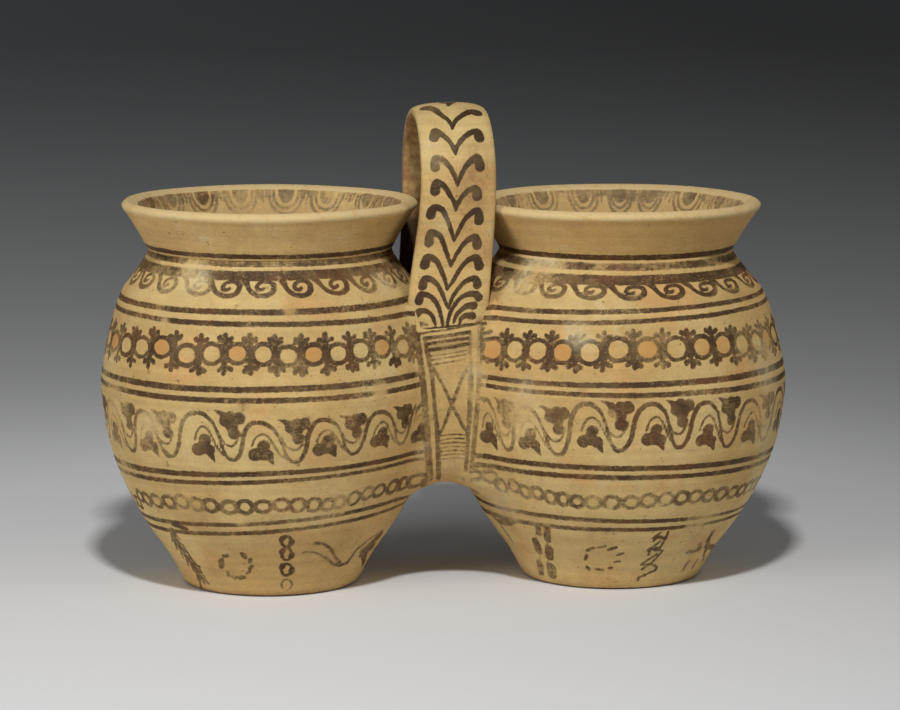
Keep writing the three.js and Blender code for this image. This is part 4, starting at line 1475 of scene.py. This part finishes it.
def skin(angles, columns, sink, with_strap, painted):
    """A closed shell that follows the joined surface: the outside, and the layers painted on it.
    It runs all the way round, or with the strap from the first angle to the last."""
    shell = Shell()
    up = 0 if with_strap else smooth((np.sin(angles) - .55) / .35)
    down = smooth((-np.sin(angles) - .5) / .3)
    left, right = [edge + high * up + low * down for edge, high, low
                   in zip(SKIN_EDGES, SKIN_TOP_SHIFTS, SKIN_LOW_SHIFTS)]
    share = np.linspace(0, 1, columns)
    x = left[:, None] + (right - left)[:, None] * share
    angle = np.repeat(angles[:, None], columns, 1)
    ends = smooth(share / .05) * smooth((1 - share) / .05)
    reach = skin_reach(x, angle, with_strap) - SKIN_SINK - sink[:, None]
    reach = reach - SKIN_EDGE_SINK * (1 - ends)
    outside = skin_point(x, angle, reach)
    o, i = shell.grid(outside), shell.grid(skin_point(x, angle, reach - SKIN_DEPTH))
    if not with_strap:
        o, i = [np.concatenate([ids, ids[:1]]) for ids in (o, i)]
    shell.fill(o)
    shell.fill(i[:, ::-1])
    shell.fill(np.stack([i[:, 0], o[:, 0]], 1))
    shell.fill(np.stack([o[:, -1], i[:, -1]], 1))
    if with_strap:
        shell.fill(np.stack([i[0], o[0]]))
        shell.fill(np.stack([o[-1], i[-1]]))
    # The bowls' paint runs on over the skin while it lies close to a bowl's wall.
    values = [np.full(x.size, float(fill)) for fill in LAYERS.values()]
    _, y, z = np.moveaxis(outside, -1, 0)
    for jar in (LEFT, RIGHT):
        dx = x - axis_at(jar, z)
        theta = np.arctan2(y, dx)
        part = Surface(outside, theta, arc_at(jar, z), np.hypot(dx, y))
        part.repeat(painted[jar["name"]])
        height = line_height(jar, theta, z).ravel()
        away = np.maximum(jar_distance(jar, x, y, z).ravel() - PAINT_REACH, 0)
        part.ink += away
        part.accent += away
        part.worn += line_wear(height) + away * .4
        side = ((x < GAP_X) == (jar is LEFT)).ravel()
        made = part.layers(np.where(away > LINE_REACH, NO_LINE, height))
        for held, new in zip(values, made):
            held[side] = new[side]
    return shell, outside, values


def panel(name, node, painted, front=None):
    """A panel below the strap's root. The back one repeats the painting and the edges of the
    front one."""
    angles = np.radians(PANEL_DEGREES)
    sink = (smooth((PANEL_LOW - PANEL_DEGREES) / PANEL_LOW_FADE)
            + smooth((PANEL_DEGREES - PANEL_HIGH) / PANEL_HIGH_FADE))
    if front:
        angles, sink = math.pi - angles[::-1], sink[::-1]
    shell, outside, values = skin(angles, PANEL_COLUMNS, sink, True, painted)
    x, z = outside[..., 0].ravel(), outside[..., 2].ravel()
    surface = Surface(outside, x, z, np.ones(x.size), turning=False)
    if front:
        surface.repeat(front[0])
    else:
        paint_panel(surface)
        front = surface, [np.array([surface.at(*pixel) for pixel in edge])[::-1]
                          for edge in (PANEL_LEFT_EDGE, PANEL_RIGHT_EDGE)]
    left, right = [np.interp(z, edge[:, 1], edge[:, 0]) for edge in front[1]]
    within = np.minimum(np.minimum(x - left, right - x), root_line(x) + PANEL_RISE - z)
    # The bowls' paint stops at the panel's edges.
    ink, tone, accent, height, worn, veil = values
    ink, accent = np.maximum(ink, within), np.maximum(accent, within)
    height = np.where(within > 0, NO_LINE, height)
    worn = np.where(within > 0, 0, worn) + surface.worn
    tone = np.where(surface.ink < ink, surface.tone, tone)
    values = [np.minimum(ink, surface.ink), tone, accent, height, worn, veil + surface.veil]
    shell.make(name, WEB_CLAY, "web_clay", node, filled_out(values, shell.count))
    return front


def web(painted):
    angles = np.linspace(-math.pi, math.pi, WEB_STEPS + 1)[:-1]
    rise = np.degrees(np.arcsin(np.sin(angles)))
    sink = (PANEL_COVER * smooth((rise - COVER_LOW) / COVER_FADE)
            * smooth((COVER_HIGH - rise) / COVER_FADE))
    shell, _, values = skin(angles, WEB_COLUMNS, sink, False, painted)
    shell.make("painted_bridge_web", WEB_CLAY, "web_clay", "bridge_web",
               filled_out(values, shell.count))


# The object.
bowl_paint = {}
for jar in (LEFT, RIGHT):
    bowl_paint[jar["name"]] = bowl(jar)
    collar(jar)
strap()
front_paint = panel("painted_front_panel", "front_panel", bowl_paint)
panel("painted_back_panel", "back_panel", bowl_paint, front_paint)
web(bowl_paint)

# The floor: pale round the object, and darker far away, as a painted falloff of light.
# Greys by distance, as shares of the reach in metres.
FLOOR_GREYS = ((0, 225), (.08, 221), (.1, 212), (.13, 197), (.16, 187), (.25, 178), (.42, 171),
               (.7, 153), (1, 139))
FLOOR_REACH = 4.0
# The floor is painted a little paler at the left, as painted light from that side: share for each
# metre, and at most.
FLOOR_TILT = .36
FLOOR_TILT_MOST = .35
FLOOR_SIZE = 30
FLOOR_ROUGHNESS = .9
FLOOR_SPECULAR = .1


def floor_paint():
    material = bpy.data.materials.new("studio_floor")
    g = Graph(material)
    where = g.node("TexCoord").outputs["Object"]
    length = g.node("VectorMath", operation="LENGTH")
    g.feed(length.inputs[0], where)
    fade = g.node("ValToRGB")
    g.feed(fade.inputs[0], g.math("DIVIDE", length.outputs["Value"], FLOOR_REACH))
    stops = fade.color_ramp.elements
    for _ in FLOOR_GREYS[2:]:
        stops.new(0)
    for stop, (place, grey) in zip(stops, FLOOR_GREYS):
        stop.position = place
        stop.color = rgb(grey, grey, grey)
    axes = g.node("SeparateXYZ")
    g.feed(axes.inputs[0], where)
    side = g.math("MINIMUM", g.total((axes.outputs[0], -FLOOR_TILT), 1.0), 1 + FLOOR_TILT_MOST)
    side = g.math("MAXIMUM", side, 1 - FLOOR_TILT_MOST)
    shader = g.node("BsdfPrincipled")
    g.feed(shader.inputs["Base Color"], g.shade(fade.outputs[0], side))
    shader.inputs["Roughness"].default_value = FLOOR_ROUGHNESS
    shader.inputs["Specular IOR Level"].default_value = FLOOR_SPECULAR
    g.surface(shader)
    return material


floor_mesh = bpy.data.meshes.new("studio_floor")
h = FLOOR_SIZE / 2
floor_mesh.from_pydata([(-h, -h, 0), (h, -h, 0), (h, h, 0), (-h, h, 0)], [], [(0, 1, 2, 3)])
floor_mesh.materials.append(floor_paint())
floor = bpy.data.objects.new("studio_floor", floor_mesh)
bpy.context.scene.collection.objects.link(floor)

# A main lamp above the camera, two broad weak ones at the sides, and a weak even world.
KEY_POWER = 11.1
LEFT_POWER = 20
RIGHT_POWER = 9
SIDE_SIZE = (1.2, .7)
WORLD_STRENGTH = .12
WORLD_COLOUR = rgb(235, 238, 242)


def lamp(name, place, aim, size, power):
    data = bpy.data.lights.new(name, "AREA")
    data.shape = "RECTANGLE"
    data.size, data.size_y = size
    data.energy = power
    obj = bpy.data.objects.new(name, data)
    bpy.context.scene.collection.objects.link(obj)
    obj.location = place
    obj.rotation_euler = (Vector(aim) - Vector(place)).to_track_quat("-Z", "Y").to_euler()


lamp("main_softbox", (-.1, -.87, 1.09), (0, 0, .09), (.1, .1), KEY_POWER)
lamp("left_softbox", (-1.9, -1.25, .62), (0, 0, .1), SIDE_SIZE, LEFT_POWER)
lamp("right_softbox", (1.9, -1.25, .62), (0, 0, .1), SIDE_SIZE, RIGHT_POWER)
world = bpy.data.worlds.new("studio")
bpy.context.scene.world = world
world.use_nodes = True
background = world.node_tree.nodes["Background"]
background.inputs["Color"].default_value = WORLD_COLOUR
background.inputs["Strength"].default_value = WORLD_STRENGTH

# The camera, whose clip distances are in metres.
CLIP_START = .05
CLIP_END = 60
camera_data = bpy.data.cameras.new("camera")
camera_data.sensor_width = SENSOR_MM
camera_data.lens = FOCAL_PX * SENSOR_MM / FRAME_WIDTH
camera_data.clip_start = CLIP_START
camera_data.clip_end = CLIP_END
camera = bpy.data.objects.new("camera", camera_data)
bpy.context.scene.collection.objects.link(camera)
camera.location = Vector(CAMERA_PLACE * MM)
camera.rotation_euler = Vector((CAMERA_AIM - CAMERA_PLACE) * MM).to_track_quat("-Z", "Y").to_euler()
bpy.context.scene.camera = camera
bpy.context.scene.view_settings.view_transform = "Standard"
